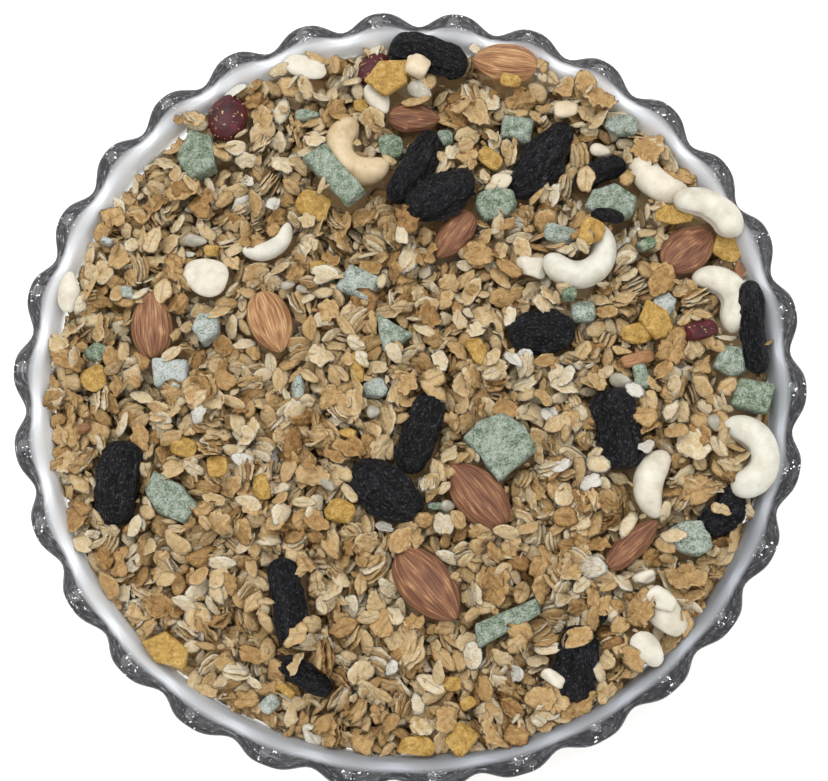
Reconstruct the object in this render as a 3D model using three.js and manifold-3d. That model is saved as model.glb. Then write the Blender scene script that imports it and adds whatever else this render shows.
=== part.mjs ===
// A scalloped glass bowl filled with granola, with dried fruit and nuts half sunk in the oats.
// Millimetres, +Z up. The origin is the middle of the foot, on the surface that the bowl stands on.

import * as THREE from 'three';
import { mergeVertices } from 'three/addons/utils/BufferGeometryUtils.js';
import Module from 'manifold-3d';

const wasm = await Module();
wasm.setup();

// Bowl
const bowlWidth = 240; // across two opposite crests
const rimHeight = 77.6; // mean height of the wavy rim
const scallopCount = 30;
const firstCrest = 3.6; // degrees from +X
const scallopDepth = 2.7; // crest to valley, in plan
const scallopRise = 4.9; // crest to valley, in height
const lobeFullness = 0.39; // how far a lobe's flanks stand out past a plain wave
const rimInside = 114.8; // radius of the rim's inner edge
const lipDrop = 2.7; // height of the flared lip
const floorHeight = 9; // inside, at the middle
const floorRadius = 28; // of the flat middle of the inside
const wallReach = 85.4; // half axes of the ellipse that the inner wall follows
const wallBelly = 79;
const wallAngles = [28, 56]; // degrees up that ellipse, where the wall bends
const wallAtRim = 6.4; // thickness of the glass under the lip
const wallAtFoot = 8.2; // thickness of the glass over the foot
const rimBevel = 1.6;
const footRadius = 56;
const footRingInside = 48;
const footRecess = 1.5;
const fluteTop = 76; // the flutes are at full depth here
const fluteFoot = 12; // and have died out here
const liftBase = 75; // only the rim, above this height, rises and falls with the scallops
const segmentsPerScallop = 4;

// Granola
const gap = 0.3; // between touching pieces
const fillLevel = 71.8; // along the wall
const fillMound = 0.4; // how much higher the middle is
// Where the oats are heaped against the wall: direction and half width in degrees, and height.
const banks = [[52, 40, 3.6], [105, 22, 1.2], [200, 34, 1.6], [280, 28, 1.4]];
const fillRelief = 0.7; // height of the lumps
const edgeRelief = 2.2; // how far the heap's edge draws in from the wall
const heapSegments = 60;
const heapRings = [0.9, 0.72, 0.54, 0.36, 0.18]; // of the heap's radius

const deg = Math.PI / 180;

// Shape of the wavy rim: 1 on a crest and -1 in a valley.
const waveAt = (angle) => Math.cos(scallopCount * (angle - firstCrest * deg));

function scallopDip(angle) {
  const wave = waveAt(angle);
  return (scallopDepth / 2) * (1 - wave) - 2 * lobeFullness * (1 - wave * wave);
}

const scallopLift = (angle) => (scallopRise / 2) * waveAt(angle);

function fade(value, low, high) {
  return THREE.MathUtils.smoothstep(value, low, high);
}

// The inner wall is part of an ellipse, and the outer wall stands off it by the glass's thickness.
function innerWall(angle) {
  const radius = floorRadius + wallReach * Math.sin(angle * deg);
  const height = floorHeight + wallBelly * (1 - Math.cos(angle * deg));
  return new THREE.Vector2(radius, height);
}

function outerWall(angle) {
  const outward = new THREE.Vector2(
    wallBelly * Math.sin(angle * deg),
    -wallReach * Math.cos(angle * deg),
  ).normalize();
  const thickness = THREE.MathUtils.lerp(wallAtFoot, wallAtRim, angle / lipAngle);
  return innerWall(angle).addScaledVector(outward, thickness);
}

const lipAngle = Math.acos(1 - (rimHeight - lipDrop - floorHeight) / wallBelly) / deg;
const innerSteps = [0, ...wallAngles, lipAngle].map(innerWall);
const outerSteps = [...wallAngles, lipAngle].map(outerWall);
const lipInside = innerWall(lipAngle).x;

function solidFrom(geometry) {
  const bare = geometry.clone();
  bare.deleteAttribute('normal');
  bare.deleteAttribute('uv');
  const merged = mergeVertices(bare, 1e-4);
  const index = merged.index.array;
  const triangles = [];
  for (let i = 0; i < index.length; i += 3) {
    const [a, b, c] = index.slice(i, i + 3);
    if (a !== b && b !== c && c !== a) triangles.push(a, b, c);
  }
  const mesh = new wasm.Mesh({
    numProp: 3,
    vertProperties: new Float32Array(merged.attributes.position.array),
    triVerts: new Uint32Array(triangles),
  });
  return new wasm.Manifold(mesh);
}

function geometryFrom(solid) {
  const mesh = solid.getMesh();
  const geometry = new THREE.BufferGeometry();
  geometry.setAttribute('position', new THREE.BufferAttribute(mesh.vertProperties, 3));
  geometry.setIndex(new THREE.BufferAttribute(mesh.triVerts, 1));
  geometry.computeVertexNormals();
  return geometry;
}

function eachVertex(geometry, move) {
  const place = geometry.attributes.position;
  const point = new THREE.Vector3();
  for (let i = 0; i < place.count; i += 1) {
    point.fromBufferAttribute(place, i);
    move(point);
    place.setXYZ(i, point.x, point.y, point.z);
  }
  return geometry;
}

// A lathe turns about Y, so its shape is laid over to stand on Z.
function turned(profile, segments) {
  const startAngle = firstCrest * deg + Math.PI / 2;
  return new THREE.LatheGeometry(profile, segments, startAngle).rotateX(Math.PI / 2);
}

function bowlSolid() {
  const rimOutside = bowlWidth / 2;
  const profile = [
    new THREE.Vector2(0, footRecess),
    new THREE.Vector2(footRingInside, 0),
    new THREE.Vector2(footRadius, 0),
    ...outerSteps,
    new THREE.Vector2(rimOutside, rimHeight - rimBevel),
    new THREE.Vector2(rimOutside - rimBevel, rimHeight),
    new THREE.Vector2(rimInside, rimHeight),
    ...[...innerSteps].reverse(),
    new THREE.Vector2(0, floorHeight),
  ];
  const bowl = turned(profile, scallopCount * segmentsPerScallop);
  const middleOfRim = (rimInside + rimOutside) / 2;
  eachVertex(bowl, (point) => {
    const angle = Math.atan2(point.y, point.x);
    const radius = Math.hypot(point.x, point.y);
    const outside = radius > middleOfRim || radius > innerRadiusAt(point.z) + wallAtRim / 2;
    const dip = outside ? scallopDip(angle) * fade(point.z, fluteFoot, fluteTop) : 0;
    const scale = radius > 0 ? (radius - dip) / radius : 1;
    point.x *= scale;
    point.y *= scale;
    point.z += scallopLift(angle) * fade(point.z, liftBase, rimHeight - rimBevel);
  });
  return solidFrom(bowl);
}

// Radius of the bowl's inside at a height, along the same straight steps as its wall.
function innerRadiusAt(height) {
  const above = innerSteps.findIndex((step) => height <= step.y);
  if (above < 1) return above ? lipInside : innerSteps[0].x;
  const [low, high] = [innerSteps[above - 1], innerSteps[above]];
  return THREE.MathUtils.mapLinear(height, low.y, high.y, low.x, high.x);
}

// How much higher the oats lie near the wall than in the middle.
function bankHeight(x, y) {
  const direction = Math.atan2(y, x) / deg;
  const nearWall = fade(Math.hypot(x, y), 86, 110);
  const raised = banks.map(([at, spread, height]) => {
    const off = Math.abs(THREE.MathUtils.euclideanModulo(direction - at + 180, 360) - 180);
    return height * fade(spread - off, 0, spread);
  });
  return nearWall * raised.reduce((total, height) => total + height, 0);
}

// The top of the granola: nearly level, with a few broad lumps.
function fillHeight(x, y) {
  const across = Math.hypot(x, y) / innerRadiusAt(fillLevel);
  const lumps = Math.sin(x / 11 + 1.3) * Math.cos(y / 13 - 0.4) + 0.6 * Math.sin((x + 2 * y) / 17);
  const mound = fillMound * (1 - across * across) + fillRelief * lumps;
  return fillLevel + mound + bankHeight(x, y);
}

function edgeDraw(angle) {
  const wander = 0.5 + 0.25 * Math.sin(7 * angle + 0.5) + 0.25 * Math.sin(17 * angle);
  return edgeRelief * wander;
}

function heapSolid() {
  const shoulder = fillLevel - 4;
  const edge = innerRadiusAt(fillLevel - 1) - gap;
  const inset = (point) => new THREE.Vector2(point.x - gap, point.y + gap);
  const profile = [
    new THREE.Vector2(0, floorHeight + gap),
    ...innerSteps.slice(0, -1).map(inset),
    new THREE.Vector2(innerRadiusAt(shoulder) - gap, shoulder),
    new THREE.Vector2(edge, fillLevel),
    ...heapRings.map((share) => new THREE.Vector2(edge * share, fillLevel)),
    new THREE.Vector2(0, fillLevel),
  ];
  const heap = turned(profile, heapSegments);
  eachVertex(heap, (point) => {
    if (point.z < fillLevel - 0.01) return;
    const angle = Math.atan2(point.y, point.x);
    const radius = Math.hypot(point.x, point.y);
    const draw = radius > 0.97 * edge ? edgeDraw(angle) : 0;
    const scale = radius > 0 ? (radius - draw) / radius : 1;
    point.x *= scale;
    point.y *= scale;
    point.z = fillHeight(point.x, point.y);
  });
  return solidFrom(heap);
}

// The space inside the bowl, a little clear of the glass.
function roomSolid() {
  const above = rimHeight + 30;
  const crest = rimHeight + scallopRise / 2;
  const profile = [
    new THREE.Vector2(0, floorHeight + gap),
    ...innerSteps.map((step) => new THREE.Vector2(step.x - gap, step.y + gap)),
    new THREE.Vector2(rimInside - gap, crest),
    new THREE.Vector2(rimInside - gap, above),
    new THREE.Vector2(0, above),
  ];
  return solidFrom(turned(profile, scallopCount * segmentsPerScallop));
}

// Toppings. Each shape lies flat along X about its own middle, and grow swells it all round.

function ball(around, along) {
  return new THREE.SphereGeometry(1, around, along).rotateZ(Math.PI / 2);
}

function raisin([length, width, height], seed, grow) {
  return eachVertex(ball(6, 6), (point) => {
    const around = Math.atan2(point.z, point.y);
    const waist = 1 - 0.1 * Math.cos(3.1 * point.x + seed);
    const folds = 1 + 0.07 * Math.cos(3 * around + seed * 2.3 + point.x);
    const blunt = Math.abs(point.x) < 0.99 ? (1 - point.x ** 4) ** 0.25 : 0;
    const round = Math.hypot(point.y, point.z) || 1;
    const swell = (blunt * waist * folds * 0.93) / round;
    const bow = 0.09 * width * Math.cos(2.6 * point.x + seed);
    point.set(
      point.x * (length / 2 + grow),
      point.y * swell * (width / 2 + grow) + bow,
      point.z * swell * (height / 2 + grow),
    );
  });
}

function almond([length, width, height], seed, grow) {
  return eachVertex(ball(6, 6), (point) => {
    const pointed = 1 - 0.28 * point.x - 0.08 * Math.abs(point.x);
    const uneven = 1 + 0.03 * Math.sin(seed + 4 * point.x);
    point.set(
      point.x * (length / 2 + grow),
      point.y * pointed * uneven * (width / 2 + grow),
      point.z * pointed * (height / 2 + grow),
    );
  });
}

// A nut bent round an arc, whose back faces +X. bend is the arc's radius and sweep its angle.
function cashew([, width, height], seed, grow, { bend, sweep }) {
  const half = (sweep / 2) * deg;
  const middle = (bend * (1 + Math.cos(half))) / 2;
  return eachVertex(ball(6, 6), (point) => {
    const angle = Math.asin(THREE.MathUtils.clamp(point.x, -1, 1)) / (Math.PI / 2);
    const turn = angle * (half + grow / bend);
    const plump = Math.sqrt(Math.max(0, 1 - Math.abs(angle) ** 3)) * (1 - 0.12 * angle);
    const round = Math.hypot(point.y, point.z) || 1;
    const across = (point.y / round) * plump * (width / 2 + grow);
    const up = (point.z / round) * plump * (height / 2 + grow);
    const radius = bend - across;
    point.set(radius * Math.cos(turn) - middle, radius * Math.sin(turn), up);
  });
}

function nut([length, width, height], seed, grow) {
  return eachVertex(ball(6, 4), (point) => {
    const pointed = 1 - 0.2 * point.x;
    const flat = point.z < 0 ? 0.6 : 1;
    point.set(
      point.x * (length / 2 + grow),
      point.y * pointed * (width / 2 + grow),
      point.z * flat * pointed * (height / 2 + grow),
    );
  });
}

function berry([length, width, height], seed, grow) {
  return eachVertex(ball(6, 5), (point) => {
    const dented = 1 - 0.08 * Math.cos(3 * point.x + seed) * Math.abs(point.y);
    point.set(
      point.x * (length / 2 + grow),
      point.y * dented * (width / 2 + grow),
      point.z * dented * (height / 2 + grow),
    );
  });
}

// A cut block: an uneven outline of a few corners with eased edges. star draws in every other corner,
// and taper narrows the block towards +X.
function cutFruit([length, width, height], seed, grow, { corners, star = 1, taper = 0 }) {
  const outline = [];
  for (let k = 0; k < corners; k += 1) {
    const angle = ((k + 0.5) / corners) * 2 * Math.PI;
    const reach = (k % 2 ? star : 1) * (1 + 0.12 * Math.sin(seed * 3 + k * 2.4));
    outline.push(new THREE.Vector2(reach * Math.cos(angle), reach * Math.sin(angle)));
  }
  const box = new THREE.Box2().setFromPoints(outline);
  const size = box.getSize(new THREE.Vector2());
  const middle = box.getCenter(new THREE.Vector2());
  const ease = Math.min(0.9, height / 4);
  for (const corner of outline) {
    corner.sub(middle);
    corner.y *= 1 - taper * (corner.x / size.x);
    corner.x *= (length - 2 * ease) / size.x;
    corner.y *= (width - 2 * ease) / size.y;
  }
  const block = new THREE.ExtrudeGeometry(new THREE.Shape(outline), {
    depth: height - 2 * ease,
    bevelThickness: ease + grow,
    bevelSize: ease + grow,
    bevelSegments: 1,
  });
  return block.translate(0, 0, ease - height / 2);
}

const shapes = { raisin, almond, cashew, nut, berry, fruit: cutFruit, slice: cutFruit };

// How much of each kind stands out of the oats, as a share of its thickness.
const standing = {
  raisin: 0.62, almond: 0.66, cashew: 0.66, nut: 0.7, berry: 0.66, fruit: 0.66, slice: 0.9,
};

const skins = {
  raisin: { color: 0x25262e, roughness: 0.6 },
  almond: { color: 0x8f5a41, roughness: 0.65 },
  cashew: { color: 0xdcd5c4, roughness: 0.55 },
  nut: { color: 0xdedacb, roughness: 0.55 },
  berry: { color: 0x5e2028, roughness: 0.45 },
  fruit: { color: 0x7e9373, roughness: 0.7 },
  slice: { color: 0xc4a04d, roughness: 0.6 },
};

// Where each topping lies: x and y of its middle, its turn in degrees anticlockwise, and its length,
// width and thickness. lift raises one that lies on another. The one on top comes first.
const toppings = [
  { name: 'raisin_top', at: [18.9, 104.6], turn: -18, size: [26, 10.5, 9], lift: 2 },
  { name: 'raisin_crossed', at: [17, 58], turn: 32, size: [24, 13.5, 10], lift: 3 },
  { name: 'raisin_upper_middle', at: [10, 68.7], turn: 60, size: [27, 11, 10] },
  { name: 'raisin_upper_right', at: [49.9, 66.6], turn: 47, size: [30, 12, 11] },
  { name: 'raisin_under_oats', at: [67.7, 60.4], turn: 19, size: [18, 8, 8] },
  { name: 'raisin_right_of_middle', at: [43, 11], turn: -17, size: [21, 14, 10] },
  { name: 'raisin_middle', at: [2, -16], turn: 64, size: [26, 11.5, 10] },
  { name: 'raisin_oval', at: [-10.1, -32.3], turn: -34, size: [25, 15, 11] },
  { name: 'raisin_left', at: [-90.6, -20.3], turn: -92, size: [26, 13.5, 10] },
  { name: 'raisin_right', at: [63, -22], turn: -86, size: [25, 14, 10] },
  { name: 'raisin_lower_left', at: [-42, -62], turn: -88, size: [27, 10.5, 9] },
  { name: 'raisin_under_oat', at: [-40, -84], turn: -44, size: [18, 7.5, 8] },
  { name: 'raisin_bottom', at: [39.5, -89.5], turn: 69, size: [22.5, 13, 10] },
  { name: 'raisin_right_rim', at: [106.7, 3.9], turn: -92, size: [29, 8.5, 9], lift: 3.2 },
  { name: 'raisin_lower_right', at: [89.2, -50.6], turn: 56, size: [17, 11, 9] },

  { name: 'almond_top', at: [42.8, 98.9], turn: 160, size: [21, 13.5, 8], lift: 2.2 },
  { name: 'almond_upper', at: [12, 85.5], turn: -7, size: [16.5, 10, 7] },
  { name: 'almond_under_raisin', at: [20, 45], turn: 226, size: [18, 10.5, 7.5] },
  { name: 'almond_left', at: [-76.8, 27.7], turn: 88, size: [21, 13, 8] },
  { name: 'almond_pale', at: [-40, 24], turn: -76, size: [20.5, 13, 8] },
  { name: 'almond_middle', at: [17, -37], turn: 123, size: [24.5, 14, 9] },
  { name: 'almond_lower', at: [-1, -62], turn: -56, size: [26, 15, 9] },
  { name: 'almond_lower_right', at: [61, -57], turn: 36, size: [20.5, 8, 8] },
  { name: 'almond_right_rim', at: [91.6, 31.5], turn: 33, size: [19, 14, 8] },

  { name: 'cashew_tan', at: [-7, 75.6], turn: 209, size: [0, 9.5, 9], bend: 8, sweep: 225, lift: 1 },
  { name: 'cashew_white', at: [58.3, 34], turn: 301, size: [0, 8.5, 9], bend: 8.5, sweep: 235 },
  { name: 'cashew_upper_right', at: [86.4, 55], turn: 225, size: [0, 9, 8], bend: 14, sweep: 80 },
  { name: 'cashew_upper_rim', at: [98.2, 40.9], turn: 51, size: [0, 9, 8], bend: 12, sweep: 112, lift: 4 },
  { name: 'cashew_right', at: [98.9, 14.8], turn: 25, size: [0, 9, 9], bend: 8, sweep: 180 },
  { name: 'cashew_right_rim', at: [97.8, -34.8], turn: -2, size: [0, 9, 9], bend: 8.5, sweep: 200, lift: 2 },
  { name: 'cashew_half', at: [71, -40], turn: 162, size: [0, 9.5, 8], bend: 11.5, sweep: 105 },
  { name: 'cashew_crescent', at: [-38, 50], turn: -65, size: [0, 6, 6], bend: 9, sweep: 125 },

  { name: 'nut_left', at: [-59, 41], turn: 155, size: [15, 11.5, 6] },
  { name: 'nut_upper', at: [1.2, 92.8], turn: -68, size: [11.5, 7, 6], lift: 1 },
  { name: 'nut_left_rim', at: [-101.1, 40.4], turn: 80, size: [13, 7, 6], lift: 2.2 },
  { name: 'nut_top_rim', at: [-20.5, 105.8], turn: -13, size: [14, 7.5, 5], lift: 2.2 },
  { name: 'nut_lower_rim', at: [67.5, -78.5], turn: -54, size: [15, 9.5, 8] },
  { name: 'nut_wedge', at: [60.8, -88.1], turn: -57, size: [12, 8, 7], lift: 2.2 },

  { name: 'fruit_upper_left', at: [-57.5, 80.5], turn: 71, size: [16, 12.5, 8], corners: 5 },
  { name: 'fruit_bar', at: [-15, 67.2], turn: -56, size: [21.5, 8.5, 6], corners: 4, lift: 5.5 },
  { name: 'fruit_upper_right', at: [43.9, 77.4], turn: -18, size: [10, 8, 7], corners: 4 },
  { name: 'fruit_frosted', at: [34, 53], turn: 9, size: [13, 10, 7], corners: 7 },
  { name: 'fruit_large', at: [69.8, 49.6], turn: -18, size: [15.5, 12, 8], corners: 6 },
  { name: 'fruit_slanted', at: [-11.6, 32.7], turn: -33, size: [12, 9.5, 7], corners: 4 },
  { name: 'fruit_triangle', at: [-4, 17], turn: -62, size: [12.5, 10.5, 7], corners: 3 },
  { name: 'fruit_left', at: [-60, 24], turn: 75, size: [10, 8.5, 7], corners: 5 },
  { name: 'fruit_square', at: [-72, 11], turn: -7, size: [11.5, 10, 7], corners: 4 },
  { name: 'fruit_leaf', at: [-75.5, -27], turn: -44, size: [18, 11, 7], corners: 6 },
  { name: 'fruit_star', at: [25, -23], turn: -37, size: [21, 19, 8], corners: 8, star: 0.78 },
  { name: 'fruit_tapered', at: [21, -75], turn: 18, size: [22.5, 6.5, 6], corners: 4, taper: 0.64 },
  { name: 'fruit_right', at: [99.9, -5.2], turn: 8, size: [13, 10, 6], corners: 5, lift: 1 },
  { name: 'fruit_right_rim', at: [103.1, -17], turn: -22, size: [12, 10, 7], corners: 4, lift: 2.2 },
  { name: 'fruit_oval', at: [78, -57], turn: -12, size: [13.5, 11, 7], corners: 8 },

  { name: 'berry_upper_left', at: [-46.9, 92.4], turn: 75, size: [15.5, 12, 9] },
  { name: 'berry_top', at: [0.8, 103.4], turn: 40, size: [12, 9, 8] },

  { name: 'slice_top', at: [5.1, 97.2], turn: 3, size: [14.5, 12, 3], corners: 5, lift: 6 },
  { name: 'slice_lower_left', at: [-79.4, -71.5], turn: -26, size: [15, 9.5, 3], corners: 5, lift: 2.2 },
  { name: 'slice_right', at: [78, 10], turn: -74, size: [14, 9.5, 3], corners: 5 },
];

function placed(topping, seed, grow) {
  const { name, at: [x, y], turn, size, lift = 0 } = topping;
  const kind = name.split('_')[0];
  const geometry = shapes[kind](size, seed, grow, topping);
  const height = fillHeight(x, y) + size[2] * (standing[kind] - 0.5) + lift;
  geometry.rotateZ(turn * deg);
  geometry.translate(x, y, height);
  return solidFrom(geometry);
}

function namedMesh(name, solid, skin) {
  const geometry = geometryFrom(solid);
  geometry.computeBoundingBox();
  const middle = geometry.boundingBox.getCenter(new THREE.Vector3());
  geometry.translate(-middle.x, -middle.y, -middle.z);
  const mesh = new THREE.Mesh(geometry, new THREE.MeshStandardMaterial({ metalness: 0, ...skin }));
  mesh.name = name;
  mesh.position.copy(middle);
  return mesh;
}

const granolaBowl = new THREE.Group();
const glass = { color: 0xd5dade, roughness: 0.05, transparent: true, opacity: 0.4 };
granolaBowl.add(namedMesh('bowl', bowlSolid(), glass));

let heap = heapSolid();
const room = roomSolid();
const swollen = [];
toppings.forEach((topping, seed) => {
  let solid = placed(topping, seed, 0).intersect(room);
  for (const upper of swollen) solid = solid.subtract(upper);
  swollen.push(placed(topping, seed, gap));
  heap = heap.subtract(swollen[seed]);
  granolaBowl.add(namedMesh(topping.name, solid, skins[topping.name.split('_')[0]]));
});
granolaBowl.add(namedMesh('granola', heap, { color: 0xb7935f, roughness: 0.85 }));

export default granolaBowl;
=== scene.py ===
import math
import bpy
import numpy as np
from mathutils import Matrix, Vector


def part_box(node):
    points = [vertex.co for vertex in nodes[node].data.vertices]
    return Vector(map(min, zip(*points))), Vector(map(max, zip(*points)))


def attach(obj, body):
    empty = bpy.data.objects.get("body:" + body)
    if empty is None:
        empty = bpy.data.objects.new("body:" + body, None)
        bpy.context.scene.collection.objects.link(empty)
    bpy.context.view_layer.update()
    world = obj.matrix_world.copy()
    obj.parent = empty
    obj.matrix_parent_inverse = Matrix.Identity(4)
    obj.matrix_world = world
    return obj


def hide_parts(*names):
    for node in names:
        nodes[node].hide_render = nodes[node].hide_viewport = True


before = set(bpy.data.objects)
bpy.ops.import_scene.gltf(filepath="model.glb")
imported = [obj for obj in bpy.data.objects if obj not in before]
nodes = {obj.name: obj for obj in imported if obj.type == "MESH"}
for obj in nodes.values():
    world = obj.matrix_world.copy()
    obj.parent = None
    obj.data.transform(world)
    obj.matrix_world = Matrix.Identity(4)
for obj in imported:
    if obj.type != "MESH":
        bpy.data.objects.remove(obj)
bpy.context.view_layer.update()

# A scalloped glass bowl filled with granola. Shapes are worked out in millimetres and
# turned into metres when a mesh is made.
mm = 0.001
scene = bpy.context.scene


# small tools

def newObject(name, data):
    thing = bpy.data.objects.new(name, data)
    scene.collection.objects.link(thing)
    return thing


def readVertices(mesh, what):
    values = np.empty(len(mesh.vertices) * 3)
    mesh.vertices.foreach_get(what, values)
    return values.reshape(-1, 3)


def makeMesh(name, points, faces, material, grain=None, tint=None):
    mesh = bpy.data.meshes.new(name)
    points = np.asarray(points, dtype=np.float32)
    faces = np.asarray(faces, dtype=np.int32)
    mesh.vertices.add(len(points))
    mesh.vertices.foreach_set("co", (points * mm).ravel())
    mesh.loops.add(faces.size)
    mesh.loops.foreach_set("vertex_index", faces.ravel())
    mesh.polygons.add(len(faces))
    mesh.polygons.foreach_set("loop_start", np.arange(0, faces.size, 3, dtype=np.int32))
    mesh.polygons.foreach_set("use_smooth", np.ones(len(faces), dtype=bool))
    mesh.update(calc_edges=True)
    if grain is not None:  # where a point lies on its own flake or nut
        layer = mesh.uv_layers.new(name="grain")
        corners = np.asarray(grain, dtype=np.float32)[faces.ravel()]
        layer.data.foreach_set("uv", corners.ravel())
    if tint is not None:  # its tone, and how each point lies on it
        layer = mesh.attributes.new("tint", "FLOAT_COLOR", "POINT")
        layer.data.foreach_set("color", np.asarray(tint, dtype=np.float32).ravel())
    mesh.materials.append(material)
    return newObject(name, mesh)


def joined(parts):
    # parts is a list of (points, faces, grain, tint)
    points, faces, grain, tint, start = [], [], [], [], 0
    for partPoints, partFaces, partGrain, partTint in parts:
        points.append(partPoints)
        faces.append(np.asarray(partFaces) + start)
        grain.append(partGrain)
        tint.append(partTint)
        start += len(partPoints)
    return [np.concatenate(part) for part in (points, faces, grain, tint)]


def smooth01(value, low, high):
    share = np.clip((value - low) / (high - low), 0, 1)
    return share * share * (3 - 2 * share)


def bumps(points, cell, seed):
    # smooth random lumps from -1 to 1, as large as cell
    table = np.random.default_rng(seed).uniform(-1, 1, (16, 16, 16))
    place = np.asarray(points) / cell
    low = np.floor(place).astype(int)
    part = place - low
    part = part * part * (3 - 2 * part)
    total = 0
    for corner in range(8):
        step = np.array([corner & 1, corner >> 1 & 1, corner >> 2])
        weight = np.prod(np.where(step, part, 1 - part), axis=1)
        ix, iy, iz = ((low + step) % 16).T
        total = total + weight * table[ix, iy, iz]
    return total


def ballPoints(around, along):
    # a unit ball with its poles on X: points and triangles
    points = [(-1.0, 0.0, 0.0)]
    for i in range(1, along):
        down = math.pi * i / along
        for j in range(around):
            turn = 2 * math.pi * j / around
            ring = math.sin(down)
            points.append((-math.cos(down), ring * math.cos(turn), ring * math.sin(turn)))
    points.append((1.0, 0.0, 0.0))
    faces = []
    last = len(points) - 1
    for j in range(around):
        k = (j + 1) % around
        faces.append((0, 1 + k, 1 + j))
        faces.append((last, last - around + j, last - around + k))
        for i in range(along - 2):
            a, b = 1 + i * around + j, 1 + i * around + k
            faces += [(a, b, b + around), (a, b + around, a + around)]
    return np.array(points), np.array(faces)


def turnedMesh(profile, turns, shift=None):
    # profile is a list of (radius, height) from axis to axis; shift moves the points
    profile = np.array(profile, dtype=float)
    angles = np.arange(turns) * 2 * math.pi / turns
    ring = profile[1:-1]
    radius = np.repeat(ring[:, 0], turns)
    height = np.repeat(ring[:, 1], turns)
    angle = np.tile(angles, len(ring))
    rows = np.repeat(np.arange(1, len(profile) - 1), turns)
    if shift:
        radius, height = shift(radius, height, angle, rows)
    points = np.column_stack([radius * np.cos(angle), radius * np.sin(angle), height])
    ends = np.array([[0, 0, profile[0, 1]], [0, 0, profile[-1, 1]]])
    points = np.vstack([points, ends])
    j = np.arange(turns)
    k = (j + 1) % turns
    faces = [np.column_stack([k, j, np.full(turns, len(points) - 2)])]
    for i in range(len(ring) - 1):
        a, b = i * turns + j, i * turns + k
        faces.append(np.column_stack([a, b, b + turns]))
        faces.append(np.column_stack([a, b + turns, a + turns]))
    top = (len(ring) - 1) * turns
    faces.append(np.column_stack([top + j, top + k, np.full(turns, len(points) - 1)]))
    return points, np.vstack(faces)


# materials

def newMaterial(name, roughness, specular=0.5, **settings):
    # settings are further sockets, with _ for the spaces in their names
    material = bpy.data.materials.new(name)
    material.use_nodes = True
    tree = material.node_tree
    shader = tree.nodes["Principled BSDF"]
    shader.inputs["Roughness"].default_value = roughness
    shader.inputs["Specular IOR Level"].default_value = specular
    for socket, value in settings.items():
        shader.inputs[socket.replace("_", " ")].default_value = value
    return material, tree, shader


def addNode(tree, kind, links=None, **values):
    node = tree.nodes.new(kind)
    for key, value in values.items():
        setattr(node, key, value)
    for socket, value in (links or {}).items():
        target = node.inputs[socket]
        if isinstance(value, bpy.types.NodeSocket):
            tree.links.new(value, target)
        else:
            target.default_value = value
    return node


def mathNode(tree, operation, *values):
    links = dict(enumerate(values))
    return addNode(tree, "ShaderNodeMath", links, operation=operation).outputs[0]


def times(tree, first, second):
    return mathNode(tree, "MULTIPLY", first, second)


def summed(tree, *shares):
    # adds up values, each given with its weight
    total = None
    for value, weight in shares:
        part = value if weight == 1 else times(tree, value, weight)
        total = part if total is None else mathNode(tree, "ADD", total, part)
    return total


def mixColour(tree, share, first, second):
    links = {0: share, 6: first, 7: second}
    return addNode(tree, "ShaderNodeMix", links, data_type="RGBA").outputs[2]


def colourRamp(tree, value, stops):
    node = addNode(tree, "ShaderNodeValToRGB", {"Fac": value})
    ramp = node.color_ramp
    while len(ramp.elements) < len(stops):
        ramp.elements.new(0.5)
    for element, (place, colour) in zip(ramp.elements, stops):
        element.position = place
        element.color = colour
    return node.outputs["Color"]


def rangeNode(tree, value, low, high, fromValue=0.0, toValue=1.0):
    links = {0: value, 1: low, 2: high, 3: fromValue, 4: toValue}
    return addNode(tree, "ShaderNodeMapRange", links).outputs[0]


def noiseNode(tree, vector, scale, detail=3.0, roughness=0.5):
    links = {"Vector": vector, "Scale": scale, "Detail": detail, "Roughness": roughness}
    return addNode(tree, "ShaderNodeTexNoise", links).outputs["Fac"]


def bumpNode(tree, shader, height, strength, distance):
    links = {"Height": height, "Strength": strength, "Distance": distance * mm}
    tree.links.new(addNode(tree, "ShaderNodeBump", links).outputs[0], shader.inputs["Normal"])


def stretched(tree, vector, sizes):
    links = {"Vector": vector, "Scale": sizes}
    return addNode(tree, "ShaderNodeMapping", links).outputs[0]


def srgb(red, green, blue):
    # a colour as the eye reads it, 0 to 255, turned into light
    channels = [c / 255 for c in (red, green, blue)]
    light = [c / 12.92 if c <= 0.04045 else ((c + 0.055) / 1.055) ** 2.4 for c in channels]
    return (*light, 1.0)


def objectPlace(tree):
    return addNode(tree, "ShaderNodeTexCoord").outputs["Object"]


# the camera, nearly straight above

cameraView = {
    "tilt": 11.46,  # degrees from straight down
    "roll": -6.75,
    "distance": 398,  # from the point that it aims at
    "aim": (1.74, -3.63, 77.6),
    "lens": 57.17,
}


def makeCamera(view):
    tilt, roll = math.radians(view["tilt"]), math.radians(view["roll"])
    back = np.array([0, -math.sin(tilt), math.cos(tilt)])
    right = np.array([1.0, 0.0, 0.0])
    up = np.cross(back, right)
    rolledRight = math.cos(roll) * right + math.sin(roll) * up
    rolledUp = -math.sin(roll) * right + math.cos(roll) * up
    spot = (np.array(view["aim"]) + view["distance"] * back) * mm
    data = bpy.data.cameras.new("camera")
    data.lens = view["lens"]
    data.clip_start = 0.01
    camera = newObject("camera", data)
    turn = Matrix([rolledRight, rolledUp, back]).transposed()
    camera.matrix_world = Matrix.Translation(spot) @ turn.to_4x4()
    scene.camera = camera


makeCamera(cameraView)
print("camera placed")


# the bowl

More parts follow.
